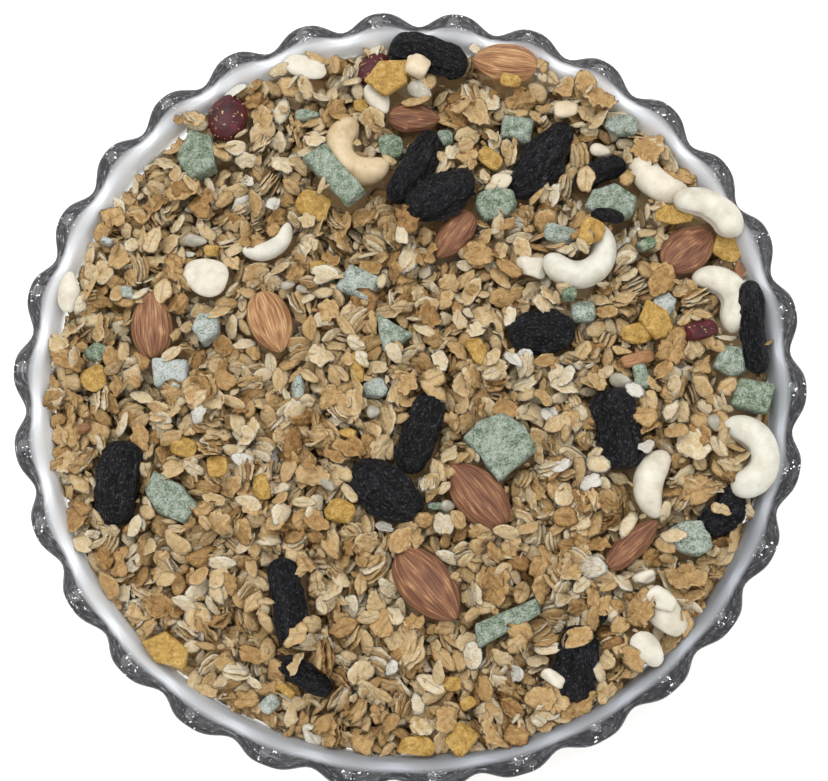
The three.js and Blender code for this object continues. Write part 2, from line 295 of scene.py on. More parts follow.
bowlLow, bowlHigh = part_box("bowl")
bowl = {
    "rimOutside": (bowlHigh[0] - bowlLow[0]) / 2 / mm + 0.2,
    "rimHeight": bowlHigh[2] / mm - 2.5,  # mean height of the wavy rim
    "lobes": 30,
    "firstCrest": 3.6,  # degrees from +X
    "lobeDepth": 2.7,  # crest to valley, in plan
    "lobeRise": 4.9,  # crest to valley, in height
    "lobeFullness": 0.39,  # how much rounder the crests are than the valleys
    "rimInside": 114.8,
    "lipDrop": 2.7,
    "floorHeight": 9,
    "floorRadius": 28,
    "wallReach": 85.4,  # half axes of the ellipse that the inner wall follows
    "wallBelly": 79,
    "wallAtRim": 6.4,
    "wallAtFoot": 8.2,
    "fluteFoot": 12,  # the flutes have died out at this height
    "fluteTop": 76,  # and are at their full depth here
    "riseFoot": 55,  # the wall starts to rise and fall with the lobes here
    "wallStart": 21,  # degrees round the wall's curve where the outside leaves the foot
    "footRadius": 56,
    "footRingInside": 48,
    "footRecess": 1.5,
    "pointsPerLobe": 16,
    "wallRows": 22,
    "innerRows": 20,
    # the rim's round edge from its crest: outwards, up, flute share
    "bead": ((-0.7, -2.6, 1), (-0.2, -1.9, 1), (0, -1.1, 1), (-0.2, -0.5, 1), (-0.7, -0.1, 1),
             (-1.5, 0.1, 1), (-2.6, 0.1, 1), (-3.7, 0.0, 1), (-4.6, -0.1, 0.85)),
    # from there down to the inner wall: outwards, up, flute share, rise share
    "lip": ((0, -0.3, 0.72, 0.92), (-0.5, -0.9, 0.55, 0.68), (-1.6, -1.9, 0.2, 0.27),
            (-2.3, -2.6, 0, 0)),
}
bowl["lipHeight"] = bowl["rimHeight"] - bowl["lipDrop"]
bowl["lipAngle"] = math.acos(1 - (bowl["lipHeight"] - bowl["floorHeight"]) / bowl["wallBelly"])


def innerWall(angle):
    radius = bowl["floorRadius"] + bowl["wallReach"] * np.sin(angle)
    height = bowl["floorHeight"] + bowl["wallBelly"] * (1 - np.cos(angle))
    return radius, height


def besideWall(angle, away):
    # a point this far outside the inner wall
    radius, height = innerWall(angle)
    across = bowl["wallBelly"] * np.sin(angle)
    down = -bowl["wallReach"] * np.cos(angle)
    length = np.hypot(across, down)
    return radius + away * across / length, height + away * down / length


def outerWall(angle):
    share = angle / bowl["lipAngle"]
    return besideWall(angle, bowl["wallAtFoot"] + (bowl["wallAtRim"] - bowl["wallAtFoot"]) * share)


def innerRadius(height):
    cosine = 1 - (np.asarray(height, dtype=float) - bowl["floorHeight"]) / bowl["wallBelly"]
    wall = bowl["floorRadius"] + bowl["wallReach"] * np.sqrt(np.clip(1 - cosine**2, 0, 1))
    lip = innerWall(bowl["lipAngle"])[0]
    flare = (bowl["rimInside"] - lip) / bowl["lipDrop"]
    above = np.asarray(height) - bowl["lipHeight"]
    return np.where(above > 0, lip + flare * above, wall)


def bowlWave(angle):
    return np.cos(bowl["lobes"] * (angle - math.radians(bowl["firstCrest"])))


def bowlProfile():
    # (radius, height, flute share, rise share) from the foot's hollow round to the floor
    rim, top, inside = bowl["rimOutside"], bowl["rimHeight"], bowl["rimInside"]
    ring, foot, recess = bowl["footRingInside"], bowl["footRadius"], bowl["footRecess"]
    line = [(0, recess), (ring - 8, recess), (ring - 1, recess - 0.2), (ring, 0.4), (ring + 1, 0)]
    line += [(foot - 1.2, 0), (foot - 0.2, 0.5), (foot + 0.6, 2)]
    line = [(r, z, 0, 0) for r, z in line]
    for angle in np.linspace(math.radians(bowl["wallStart"]), bowl["lipAngle"], bowl["wallRows"]):
        radius, height = outerWall(angle)
        flute = smooth01(height, bowl["fluteFoot"], bowl["fluteTop"])
        line.append((radius, height, flute, smooth01(height, bowl["riseFoot"], bowl["fluteTop"])))
    line += [(rim + r, top + z, flute, 1) for r, z, flute in bowl["bead"]]
    line += [(inside + r, top + z, flute, rise) for r, z, flute, rise in bowl["lip"]]
    for angle in np.linspace(bowl["lipAngle"] - 0.02, 0, bowl["innerRows"]):
        line.append((*innerWall(angle), 0, 0))
    line.append((0, bowl["floorHeight"], 0, 0))
    return line


def makeBowl(material):
    line = np.array(bowlProfile())
    depth, fullness, rise = bowl["lobeDepth"], bowl["lobeFullness"], bowl["lobeRise"]

    def flute(radius, height, angle, rows):
        wave = bowlWave(angle)
        dip = depth / 2 * (1 - wave) - 2 * fullness * (1 - wave**2)
        return radius - dip * line[rows, 2], height + rise / 2 * wave * line[rows, 3]

    points, faces = turnedMesh(line[:, :2], bowl["lobes"] * bowl["pointsPerLobe"], flute)
    return makeMesh("glass_bowl", points, faces, material)


glassLook = {
    "clearTone": (0.95, 0.96, 0.97, 1),
    "farLip": srgb(214, 216, 219),  # painted light on the wall above the oats, at the upper left
    "farFoot": srgb(208, 211, 214),  # the same, with painted shade down where the oats start
    "nearLip": srgb(150, 153, 158),  # painted shade on that wall at the lower right
    "nearFoot": srgb(124, 127, 132),
    "farBead": [(0.34, srgb(26, 25, 27)), (0.5, srgb(54, 53, 55)), (0.62, srgb(84, 84, 86)),
                (0.74, srgb(170, 171, 173))],  # painted reflection on the rim, from its dark streaks to the pale
    # the same with painted shade, at the lower right
    "nearBead": [(0.34, srgb(12, 12, 15)), (0.5, srgb(38, 38, 41)), (0.62, srgb(68, 68, 71)),
                 (0.74, srgb(150, 152, 156))],
    "spots": srgb(240, 241, 243),  # painted glints on the rim
    "lipShare": 1.0,  # how much of the wall above the oats is painted light instead of clear glass
    "beadShare": 0.85,  # how much of the rim is painted reflection instead of clear glass
    "streakLong": 6.0,  # the painted streaks in the rim, in millimetres
    "streakWide": 0.55,
    "streakHigh": 1.1,
    # where one look goes over into the next, in millimetres
    "beadStart": (72.6, 73.8),  # up
    "beadInside": (114.0, 115.4),  # outwards
    "lipStart": (67.5, 70.5),
    "lipRise": (111.8, 114.0),
    "farSide": (-110, 30),
    "polish": (0.02, 0.6),  # roughness of the clear glass and of the painted wall above the oats
}


def between(tree, value, limits):
    # 0 below the first limit and 1 above the second, which are in millimetres
    return rangeNode(tree, value, limits[0] * mm, limits[1] * mm)


def paintedRimStreaks(tree, place, around):
    # painted reflection on the rim: streaks that run along it and follow its lobes, with a few painted glints
    turn = mathNode(tree, "ARCTAN2", place[1], place[0])
    phase = math.radians(bowl["lobes"] * bowl["firstCrest"])
    wave = mathNode(tree, "COSINE", mathNode(tree, "SUBTRACT", times(tree, turn, bowl["lobes"]), phase))
    dip = times(tree, mathNode(tree, "SUBTRACT", 1.0, wave), bowl["lobeDepth"] / 2 * mm)
    across = mathNode(tree, "DIVIDE", mathNode(tree, "ADD", around, dip), glassLook["streakWide"] * mm)
    length = bowl["rimOutside"] / glassLook["streakLong"]
    along = [times(tree, mathNode(tree, way, turn), length) for way in ("COSINE", "SINE")]
    spot = addNode(tree, "ShaderNodeCombineXYZ", dict(enumerate([*along, across]))).outputs[0]
    up = mathNode(tree, "DIVIDE", place[2], glassLook["streakHigh"] * mm)
    streak = addNode(tree, "ShaderNodeTexNoise", {
        "Vector": spot, "W": up, "Scale": 1.0, "Detail": 3.0, "Roughness": 0.6}, noise_dimensions="4D")
    rungs = noiseNode(tree, objectPlace(tree), 900.0, 2.0, 0.5)
    crest = rangeNode(tree, wave, 0.1, 0.9, 0.0, 0.12)  # more of them on the crests
    paintedGlints = rangeNode(tree, mathNode(tree, "ADD", rungs, crest), 0.755, 0.80)
    return streak.outputs["Fac"], paintedGlints


def paintedGlassLight(tree, place, around, bead):
    # painted reflection on the rim and painted light below it, both with painted shade at the lower right,
    # the wall also darker down towards the oats
    slope = mathNode(tree, "SUBTRACT", place[1], times(tree, place[0], 0.6))
    far = between(tree, slope, glassLook["farSide"])
    streak, paintedGlints = paintedRimStreaks(tree, place, around)
    nearBead = colourRamp(tree, streak, glassLook["nearBead"])
    paintedRimLight = mixColour(tree, far, nearBead, colourRamp(tree, streak, glassLook["farBead"]))
    paintedRimLight = mixColour(tree, paintedGlints, paintedRimLight, glassLook["spots"])
    rise = between(tree, around, glassLook["lipRise"])
    near = mixColour(tree, rise, glassLook["nearFoot"], glassLook["nearLip"])
    pale = mixColour(tree, far, near, mixColour(tree, rise, glassLook["farFoot"], glassLook["farLip"]))
    return mixColour(tree, bead, pale, paintedRimLight)


def letLightThrough(tree, shader):
    # light from the lamps and the floor falls through to what lies behind the glass
    pane = addNode(tree, "ShaderNodeBsdfTransparent", {"Color": (0.94, 0.95, 0.96, 1)})
    path = addNode(tree, "ShaderNodeLightPath")
    surface = shader.outputs[0]
    for ray in ("Is Shadow Ray", "Is Diffuse Ray"):
        mix = addNode(tree, "ShaderNodeMixShader")
        tree.links.new(path.outputs[ray], mix.inputs[0])
        tree.links.new(surface, mix.inputs[1])
        tree.links.new(pane.outputs[0], mix.inputs[2])
        surface = mix.outputs[0]
    tree.links.new(surface, tree.nodes["Material Output"].inputs["Surface"])


def glassMaterial():
    glass, tree, shader = newMaterial("pressed glass", glassLook["polish"][0], 0.5, IOR=1.5)
    place = addNode(tree, "ShaderNodeSeparateXYZ", {0: objectPlace(tree)}).outputs
    squares = [times(tree, place[axis], place[axis]) for axis in (0, 1)]
    around = mathNode(tree, "SQRT", mathNode(tree, "ADD", *squares))
    bead = times(tree, between(tree, place[2], glassLook["beadStart"]),
                 between(tree, around, glassLook["beadInside"]))
    lip = times(tree, mathNode(tree, "SUBTRACT", 1.0, bead),
                between(tree, place[2], glassLook["lipStart"]))
    tone = paintedGlassLight(tree, place, around, bead)
    # where painted light, shade and reflection take the place of clear glass
    paintedCover = summed(tree, (bead, glassLook["beadShare"]), (lip, glassLook["lipShare"]))
    colour = mixColour(tree, rangeNode(tree, paintedCover, 0.02, 0.1), glassLook["clearTone"], tone)
    tree.links.new(colour, shader.inputs["Base Color"])
    tree.links.new(mathNode(tree, "SUBTRACT", 1.0, paintedCover), shader.inputs["Transmission Weight"])
    tree.links.new(rangeNode(tree, lip, 0.2, 0.8, *glassLook["polish"]), shader.inputs["Roughness"])
    letLightThrough(tree, shader)
    smoke = addNode(tree, "ShaderNodeVolumeAbsorption", {"Color": (0.62, 0.64, 0.66, 1), "Density": 5})
    tree.links.new(smoke.outputs[0], tree.nodes["Material Output"].inputs["Volume"])
    return glass


bowlPiece = makeBowl(glassMaterial())
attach(bowlPiece, "root")
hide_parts("bowl")
print("bowl made")


# the heap of oats under the loose flakes

fill = {
    "level": 71.8,  # along the wall
    "reach": 110.8,  # how wide the glass is there
    "mound": 0.4,  # how much higher the middle is
    "relief": 0.7,
    "banks": ((52, 40, 3.6), (105, 22, 1.2), (200, 34, 1.6), (280, 28, 1.4)),
    "bankReach": (86, 110),  # they rise between these distances from the middle
    "coreDrop": 8.2,  # the core lies this far under the flakes
    "coreSide": 3.0,  # and its side ends this far under the level
    "coreTurns": 210,
    "intoWall": 0.15,
    "tones": [(0.1, srgb(146, 114, 74)), (0.5, srgb(176, 146, 104)), (0.9, srgb(200, 175, 136))],
    # painted shade of the gaps between the grains
    "gapTone": srgb(110, 82, 50),
}


def bankHeight(x, y):
    # oats heaped against the wall: banks are (direction, half width, height)
    direction = np.degrees(np.arctan2(y, x))
    total = 0
    for at, spread, height in fill["banks"]:
        off = np.abs((direction - at + 180) % 360 - 180)
        total = total + height * smooth01(spread - off, 0, spread)
    return total * smooth01(np.hypot(x, y), *fill["bankReach"])


def fillHeight(x, y):
    across = np.hypot(x, y) / fill["reach"]
    # broad, shallow waves
    lumps = np.sin(x / 11 + 1.3) * np.cos(y / 13 - 0.4) + 0.6 * np.sin((x + 2 * y) / 17)
    return fill["level"] + fill["mound"] * (1 - across**2) + fill["relief"] * lumps + bankHeight(x, y)


def makeCore(material):
    sideTop = fill["level"] - fill["coreSide"]
    side = [innerWall(angle) for angle in np.linspace(0.02, bowl["lipAngle"], 26)]
    side = [(r, z) for r, z in side if z < sideTop]
    rings = [(float(innerRadius(sideTop)) * share, fill["level"])
             for share in np.linspace(0.995, 0.02, 32)]
    line = [(0, bowl["floorHeight"] - fill["intoWall"])] + side + rings + [(0, fill["level"])]

    def rough(radius, height, angle, rows):
        # the side reaches into the glass, the top follows the heap's height
        around = np.column_stack([radius * np.cos(angle), radius * np.sin(angle), height])
        relief = bumps(around, 4.0, 5) * 0.5 + bumps(around, 1.8, 6) * 0.3
        below = rows <= len(side)
        radius = np.where(below, radius + fill["intoWall"], radius)
        top = fillHeight(radius * np.cos(angle), radius * np.sin(angle)) - fill["coreDrop"] + relief
        return radius, np.where(below, height - fill["intoWall"] * 0.5, top)

    points, faces = turnedMesh(line, fill["coreTurns"], rough)
    points[-1, 2] = fillHeight(0, 0) - fill["coreDrop"]
    return makeMesh("granola_core", points, faces, material)


def coreMaterial():
    oats, tree, shader = newMaterial("packed oats", 0.85, 0.2)
    place = objectPlace(tree)
    cells = addNode(tree, "ShaderNodeTexVoronoi", {"Vector": place, "Scale": 190.0}).outputs
    grain = noiseNode(tree, place, 420.0, 4.0)
    colour = colourRamp(tree, cells["Color"], fill["tones"])
    # painted shade scattered over the core, as between packed grains
    colour = mixColour(tree, times(tree, grain, 0.75), colour, fill["gapTone"])
    tree.links.new(colour, shader.inputs["Base Color"])
    bumpNode(tree, shader, summed(tree, (cells["Distance"], 1), (grain, 0.4)), 0.6, 1.2)
    return oats


core = makeCore(coreMaterial())
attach(core, "root")
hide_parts("granola")
print("core made")


# where things lie: a map of heights that every flake settles on

mapStep = 0.5  # millimetres between its places
mapReach = 117  # and from its middle to its sides
mapSize = int(2 * mapReach / mapStep) + 1
mapLine = np.linspace(-mapReach, mapReach, mapSize)
mapX, mapY = np.meshgrid(mapLine, mapLine)
mapPoints = np.column_stack([mapX.ravel(), mapY.ravel(), np.zeros(mapX.size)])
mapRough = bumps(mapPoints, 3.0, 7).reshape(mapX.shape)
target = fillHeight(mapX, mapY)
ground = target - fill["coreDrop"] + 0.6 * mapRough  # about the core's top
taken = np.zeros(mapX.shape, dtype=bool)  # under a topping


def mapIndex(x, y):
    ix = np.clip(np.rint((x + mapReach) / mapStep).astype(int), 0, mapSize - 1)
    iy = np.clip(np.rint((y + mapReach) / mapStep).astype(int), 0, mapSize - 1)
    return iy, ix


def cellsUnder(x, y, heading, along, across):
    # the places of the map under the points of a shape with this heading
    cosine, sine = math.cos(heading), math.sin(heading)
    return mapIndex(x + along * cosine - across * sine, y + along * sine + across * cosine)


def diskPoints(count):
    # points spread evenly over a unit disk: distance from the middle, x and y
    turn = np.arange(count) * 2.39996
    reach = np.sqrt((np.arange(count) + 0.5) / count)
    return reach, reach * np.cos(turn), reach * np.sin(turn)


def pressInto(points, faces):
    # marks the map where a topping lies and raises it to the topping's top
    corners = points[faces]
    # seven spots on each triangle
    for a, b in ((0.5, 0.25), (0.25, 0.5), (0.25, 0.25), (1, 0), (0, 1), (0, 0), (0.5, 0.5)):
        spots = corners[:, 0] * (1 - a - b) + corners[:, 1] * a + corners[:, 2] * b
        cells = mapIndex(spots[:, 0], spots[:, 1])
        high = spots[:, 2] > fillHeight(spots[:, 0], spots[:, 1]) - 1.5
        cells = (cells[0][high], cells[1][high])
        np.maximum.at(ground, cells, spots[high, 2])
        taken[cells] = True


# toppings

def nodePoints(name):
    return readVertices(nodes[name].data, "co") / mm


def layOf(name):
    # middle, heading and half sizes of a node that lies flat, with its thin end ahead
    points = nodePoints(name)
    middle = (points.min(0) + points.max(0)) / 2
    flat = points[:, :2] - points[:, :2].mean(0)
    vectors = np.linalg.eigh(flat.T @ flat)[1]
    ahead = vectors[:, 1]
    along, across = flat @ ahead, flat @ vectors[:, 0]
    reach = 0.4 * np.ptp(along)
    if np.ptp(across[along > along.max() - reach]) > np.ptp(across[along < along.min() + reach]):
        ahead = -ahead
    side = np.array([-ahead[1], ahead[0]])
    along, across = points[:, :2] @ ahead, points[:, :2] @ side
    middle[:2] = ahead * (along.min() + along.max()) / 2 + side * (across.min() + across.max()) / 2
    size = np.array([np.ptp(along), np.ptp(across), np.ptp(points[:, 2])]) / 2
    return middle, math.atan2(ahead[1], ahead[0]), size


def placedAt(points, middle, heading, tilt=(0, 0)):
    # turns flat-lying points to their heading, tips them a little and moves them
    cosine, sine = math.cos(heading), math.sin(heading)
    lean = points[:, 2] + points[:, 0] * tilt[0] + points[:, 1] * tilt[1]
    x = points[:, 0] * cosine - points[:, 1] * sine
    y = points[:, 0] * sine + points[:, 1] * cosine
    return np.column_stack([x, y, lean]) + middle


def longNoise(unit, ring, stretch, cell, seed):
    # lumps drawn out along X, which meet at both ends
    out = unit[:, 1:] / np.maximum(ring, 1e-6)[:, None]
    spots = np.column_stack([unit[:, 0] * stretch, out[:, 0], out[:, 1]])
    return bumps(spots, cell, seed)


def ridged(noise):
    return 1 - 2 * np.minimum(np.abs(noise) * 2.2, 1)


def noteOf(rng, relief, tone=None):
    # the tint of a shape: its own tone, then how each point stands out
    own = rng.uniform(0, 1) if tone is None else tone
    return np.column_stack([np.full(len(relief), own), relief, 0 * relief, 1 + 0 * relief])


def ballGrain(unit):
    # along a nut and round it
    return np.column_stack([unit[:, 0], np.arctan2(unit[:, 1], unit[:, 2]) / math.pi])


raisinBall = ballPoints(96, 40)
almondBall = ballPoints(56, 40)
nutBall = ballPoints(36, 40)
smallBall = ballPoints(20, 16)


def tintOf(tree):
    tint = addNode(tree, "ShaderNodeAttribute", attribute_name="tint").outputs["Color"]
    return addNode(tree, "ShaderNodeSeparateColor", {0: tint}).outputs


def grainOf(tree):
    return addNode(tree, "ShaderNodeUVMap", uv_map="grain").outputs[0]


# raisins; tones are colours as stops along a value from dark to pale

raisin = {
    "folds": (0.075, 0.065),  # how deep the long folds are, and the fine ones between them
    "dents": (0.10, 0.045),
    # the raisin's own near-black, with painted shade deeper in the folds and dents
    "tones": [(0.3, srgb(6, 6, 9)), (0.62, srgb(15, 15, 20)), (0.95, srgb(44, 44, 51))],
    "ridgeTone": srgb(104, 103, 106),
    "ridges": 0.6,  # how far the fold ridges go to that tone, a painted glint
    # how blunt the ends are, how narrow the waist is and how much it bows
    "forms": {
        "raisin_right": (5.0, 0.0, 0.03),
        "raisin_bottom": (4.0, 0.02, 0.03),
        "raisin_top": (3.6, 0.10, 0.10),
        "raisin_lower_left": (3.0, 0.10, 0.10),
        "raisin_right_rim": (3.4, 0.12, 0.10),
        "raisin_left": (3.4, 0.0, 0.03),
        "raisin_right_of_middle": (2.3, -0.05, 0.02),
        "raisin_under_oat": (2.6, 0.02, 0.04),
        "raisin_lower_right": (2.8, 0.04, 0.2),
        "raisin_middle": (2.8, 0.02, 0.05),
        "raisin_oval": (2.3, -0.04, 0.06),
        "raisin_upper_right": (2.4, -0.02, 0.05),
        "raisin_crossed": (2.6, -0.05, 0.05),
    },
}


def shapeRaisin(size, seed, name="", ball=raisinBall):
    # a plump oval with long folds that run from end to end and a few broad dents
    rng = np.random.default_rng(seed)
    unit, faces = ball
    x, y, z = unit.T
    ring = np.hypot(y, z)
    bluntness, waist, bow = raisin["forms"].get(name, (2.6, rng.uniform(-0.05, 0.12), 0.1))
    outline = (1 - np.abs(x) ** bluntness) ** 0.45 * (1 - waist * np.cos(3.1 * x + rng.normal(0, 0.4)))
    swell = np.where(ring > 1e-6, outline / np.maximum(ring, 1e-6), 0)
    spots = unit + 0.12 * np.column_stack([bumps(unit, 0.5, seed + 4), bumps(unit, 0.5, seed + 5),
                                           bumps(unit, 0.5, seed + 6)])
    deep = ridged(longNoise(spots, ring, 0.9, 0.5, seed + 11))
    fine = ridged(longNoise(spots, ring, 1.3, 0.21, seed + 12))
    folds = raisin["folds"][0] * deep + raisin["folds"][1] * fine
    broad, small = raisin["dents"]
    dents = broad * bumps(unit, 0.8, seed) + small * bumps(unit, 0.33, seed + 1)
    swell = swell * (1 + folds * smooth01(ring, 0.05, 0.5) + dents)
    side = bow * np.cos(2.4 * x + rng.uniform(-0.6, 0.6)) * size[1]
    points = np.column_stack([x * size[0], y * swell * size[1] + side, z * swell * size[2]])
    points[:, 2] += 0.1 * size[2] * bumps(unit, 0.9, seed + 3)
    # how deep each point lies in the folds and dents, which drives the painted shade there
    fold = np.clip(0.5 + folds * 2.6 + dents * 1.2, 0, 1)
    return points, faces, ballGrain(unit), noteOf(rng, fold)


def raisinMaterial():
    skin, tree, shader = newMaterial("raisin skin", 0.45, 0.3)
    fold = tintOf(tree)[1]
    lines = noiseNode(tree, stretched(tree, grainOf(tree), (1.9, 16, 1)), 3.8, 4.0, 0.62)
    fine = noiseNode(tree, objectPlace(tree), 1250.0, 3.0, 0.6)
    # painted glints along the fine ridge lines
    ridge = times(tree, rangeNode(tree, lines, 0.5, 0.57), rangeNode(tree, fine, 0.5, 0.57))
    colour = mixColour(tree, times(tree, ridge, raisin["ridges"]),
                       colourRamp(tree, fold, raisin["tones"]), raisin["ridgeTone"])
    tree.links.new(colour, shader.inputs["Base Color"])
    bumpNode(tree, shader, summed(tree, (lines, 1.8), (fine, 1)), 1.0, 1.3)
    return skin


# almonds

almond = {
    "ridges": 0.022,
    "lumps": 0.03,
    "tans": {"almond_pale": 0.9, "almond_top": 0.8, "almond_left": 0.3},  # how tan each is
    "brownTones": [(0.36, srgb(78, 46, 32)), (0.5, srgb(104, 66, 46)), (0.63, srgb(120, 80, 56)),
                   (0.75, srgb(162, 122, 82))],
    "tanTones": [(0.38, srgb(114, 72, 46)), (0.5, srgb(142, 99, 64)), (0.62, srgb(164, 125, 84)),
                 (0.74, srgb(184, 152, 110))],
}


def shapeAlmond(size, seed, name="", ball=almondBall):
    # drop shaped and flattened, with ridges that run from the blunt end to the point
    rng = np.random.default_rng(seed)
    unit, faces = ball
    x, y, z = unit.T
    ring = np.maximum(np.hypot(y, z), 1e-6)
    outline = (1 - x * x) ** (0.46 + 0.2 * smooth01(x, 0.1, 1)) * (1 - 0.10 * x)
    ridges = ridged(longNoise(unit, ring, 0.35, 0.22, seed + 5))
    lumps = almond["lumps"] * bumps(unit, 0.7, seed)
    swell = outline * (1 + almond["ridges"] * ridges * smooth01(ring, 0.1, 0.6) + lumps) / ring
    points = np.column_stack([x * size[0], y * swell * size[1], z * swell * size[2]])
    tan = almond["tans"].get(name, 0.05)
    return points, faces, ballGrain(unit), noteOf(rng, ridges / 2 + 0.5, tan)


def almondMaterial():
    skin, tree, shader = newMaterial("almond skin", 0.62, 0.3)
    own, ridge = tintOf(tree)[:2]
    stripes = noiseNode(tree, stretched(tree, grainOf(tree), (0.55, 13.5, 1)), 2.6, 2.0, 0.5)
    fine = noiseNode(tree, objectPlace(tree), 1500.0, 3.0, 0.6)
    value = summed(tree, (ridge, 0.2), (stripes, 0.8), (fine, 0.12))
    colour = mixColour(tree, own, colourRamp(tree, value, almond["brownTones"]),
                       colourRamp(tree, value, almond["tanTones"]))
    tree.links.new(colour, shader.inputs["Base Color"])
    bumpNode(tree, shader, value, 0.7, 0.7)
    return skin


# cashews and broken nuts

cashew = {
    "blunt": 4.5,
    "pointed": 2.2,
    "pointedOnes": ("cashew_half", "cashew_crescent"),
    "seam": 0.12,
    "whiteTones": [(0.36, srgb(174, 169, 154)), (0.56, srgb(191, 187, 173)),
                   (0.76, srgb(201, 199, 188))],
    "tanTones": [(0.36, srgb(160, 136, 102)), (0.56, srgb(182, 161, 127)),
                 (0.76, srgb(194, 176, 146))],
    # x, y, heading of the back, radius of the arc, its sweep, width, thickness, and how tan it is
    "forms": {
        "cashew_tan": (-7, 75.6, 209, 8, 228, 9.6, 9, 1.0),
        "cashew_white": (58.3, 34, 301, 8.4, 238, 8.8, 9, 0.0),
        "cashew_upper_right": (86.4, 55, 225, 14, 88, 9.4, 8, 0.35),
        "cashew_upper_rim": (98.2, 40.9, 51, 12, 116, 9.4, 8, 0.1),
        "cashew_right": (98.9, 14.8, 25, 8.4, 185, 9.4, 9, 0.1),
        "cashew_right_rim": (97.8, -34.8, -2, 8.6, 212, 9.6, 9, 0.0),
        "cashew_half": (71, -40, 162, 11.5, 112, 9.5, 8, 0.2),
        "cashew_crescent": (-38, 50, -65, 9, 128, 6, 6, 0.0),
    },
}


def shapeCashew(name, seed):
    # a nut bent round an arc, plump at one end, with a seam along the inside of the bend
    rng = np.random.default_rng(seed)
    atX, atY, heading, bend, sweep, width, height, tan = cashew["forms"][name]
    back, half = math.radians(heading), math.radians(sweep / 2)
    inset = bend * (1 + math.cos(half)) / 2
    centre = np.array([atX - inset * math.cos(back), atY - inset * math.sin(back)])
    solid = nodePoints(name)
    middle = (solid[:, 2].max() + solid[:, 2].min()) / 2
    unit, faces = nutBall
    x, y, z = unit.T
    ring = np.maximum(np.hypot(y, z), 1e-6)
    step = np.arcsin(np.clip(x, -1, 1)) / (math.pi / 2)
    blunt = cashew["pointed"] if name in cashew["pointedOnes"] else cashew["blunt"]
    plump = np.clip(1 - np.abs(step) ** blunt, 0, 1) ** 0.5 * (1 - 0.10 * step)
    lumps = 1 + 0.06 * bumps(unit, 0.8, seed) + 0.02 * bumps(unit, 0.3, seed + 1)
    seam = cashew["seam"] * np.exp(-(((z / ring) - 0.1) / 0.18) ** 2) * smooth01(y / ring, 0.2, 0.8)
    across = y / ring * plump * width / 2 * (lumps - seam)
    up = z / ring * plump * height / 2 * lumps
    turn = back + step * half
    radius = bend - across
    points = np.column_stack([centre[0] + radius * np.cos(turn), centre[1] + radius * np.sin(turn),
                              middle + up])
    return points, faces, ballGrain(unit), noteOf(rng, 0.5 + 0 * x, tan)


def shapeNut(size, seed, name="", ball=nutBall):
    # a broken half: smooth and round above, flatter below
    rng = np.random.default_rng(seed)
    unit, faces = ball
    x, y, z = unit.T
    lumps = 1 + 0.09 * bumps(unit, 0.7, seed) + 0.02 * bumps(unit, 0.25, seed + 1)
    narrow = 1 - 0.2 * x
    points = np.column_stack([x * size[0] * lumps, y * narrow * lumps * size[1],
                              np.where(z < 0, 0.6, 1) * z * lumps * size[2]])
    return points, faces, ballGrain(unit), noteOf(rng, 0.5 + 0 * x, rng.uniform(0, 0.3))


def paleNutMaterial(name):
    # each nut's own tone goes from white to tan
    nut, tree, shader = newMaterial(name, 0.48, 0.4)
    place = objectPlace(tree)
    value = summed(tree, (noiseNode(tree, place, 200.0, 4.0, 0.6), 1),
                   (noiseNode(tree, place, 1500.0, 2.0), 0.12))
    colour = mixColour(tree, tintOf(tree)[0], colourRamp(tree, value, cashew["whiteTones"]),
                       colourRamp(tree, value, cashew["tanTones"]))
    tree.links.new(colour, shader.inputs["Base Color"])
    bumpNode(tree, shader, value, 0.2, 0.4)
    return nut


# dried berries

berry = {
    "tones": [(0.3, srgb(38, 10, 13)), (0.55, srgb(70, 18, 24)), (0.78, srgb(98, 32, 36))],
    "crumbs": srgb(190, 158, 112),
}


def shapeBerry(size, seed, name="", ball=nutBall):
    # a dried berry with a shrunken, dented skin
    rng = np.random.default_rng(seed)
    unit, faces = ball
    dents = 0.10 * bumps(unit, 0.7, seed) + 0.035 * bumps(unit, 0.25, seed + 1)
    return unit * (1 + dents)[:, None] * size, faces, ballGrain(unit), noteOf(rng, 0.5 + dents)


def berryMaterial():
    skin, tree, shader = newMaterial("dried berry", 0.5, 0.3)
    place = objectPlace(tree)
    colour = colourRamp(tree, noiseNode(tree, place, 330.0, 4.0, 0.6), berry["tones"])
    crumbs = noiseNode(tree, place, 700.0, 3.0, 0.6)
    colour = mixColour(tree, rangeNode(tree, crumbs, 0.63, 0.66, 0, 0.8), colour, berry["crumbs"])
    tree.links.new(colour, shader.inputs["Base Color"])
    bumpNode(tree, shader, crumbs, 0.35, 0.5)
    return skin


# candied fruit and yellow slices

candied = {
    "tones": [(0.36, srgb(50, 64, 44)), (0.48, srgb(82, 99, 70)), (0.58, srgb(110, 127, 95)),
              (0.7, srgb(140, 153, 122))],
    "sugar": srgb(171, 174, 172),
    # how much sugar shows on a block
    "frost": {"fruit_square": 0.9, "fruit_left": 0.7, "fruit_slanted": 0.6, "fruit_oval": 0.5},
}
yellow = {
    "tones": [(0.36, srgb(124, 92, 38)), (0.5, srgb(160, 126, 60)), (0.64, srgb(186, 156, 96))],
}


def shapeChunk(size, seed, name="", ball=smallBall):
    # a squarish lump cut by a few flat faces
    rng = np.random.default_rng(seed)
    unit, faces = ball
    squareness = 4
    points = unit / ((np.abs(unit) ** squareness).sum(1) ** (1 / squareness))[:, None]
    for _ in range(5):
        normal = rng.normal(0, 1, 3)
        normal /= np.linalg.norm(normal)
        over = np.maximum(points @ normal - rng.uniform(0.72, 0.95), 0)
        points = points - over[:, None] * normal
    lumps = 0.08 * bumps(unit, 0.5, seed + 1)
    points = points * (1 + lumps)[:, None] * size
    return points, faces, ballGrain(unit), noteOf(rng, 0.5 + lumps * 3)


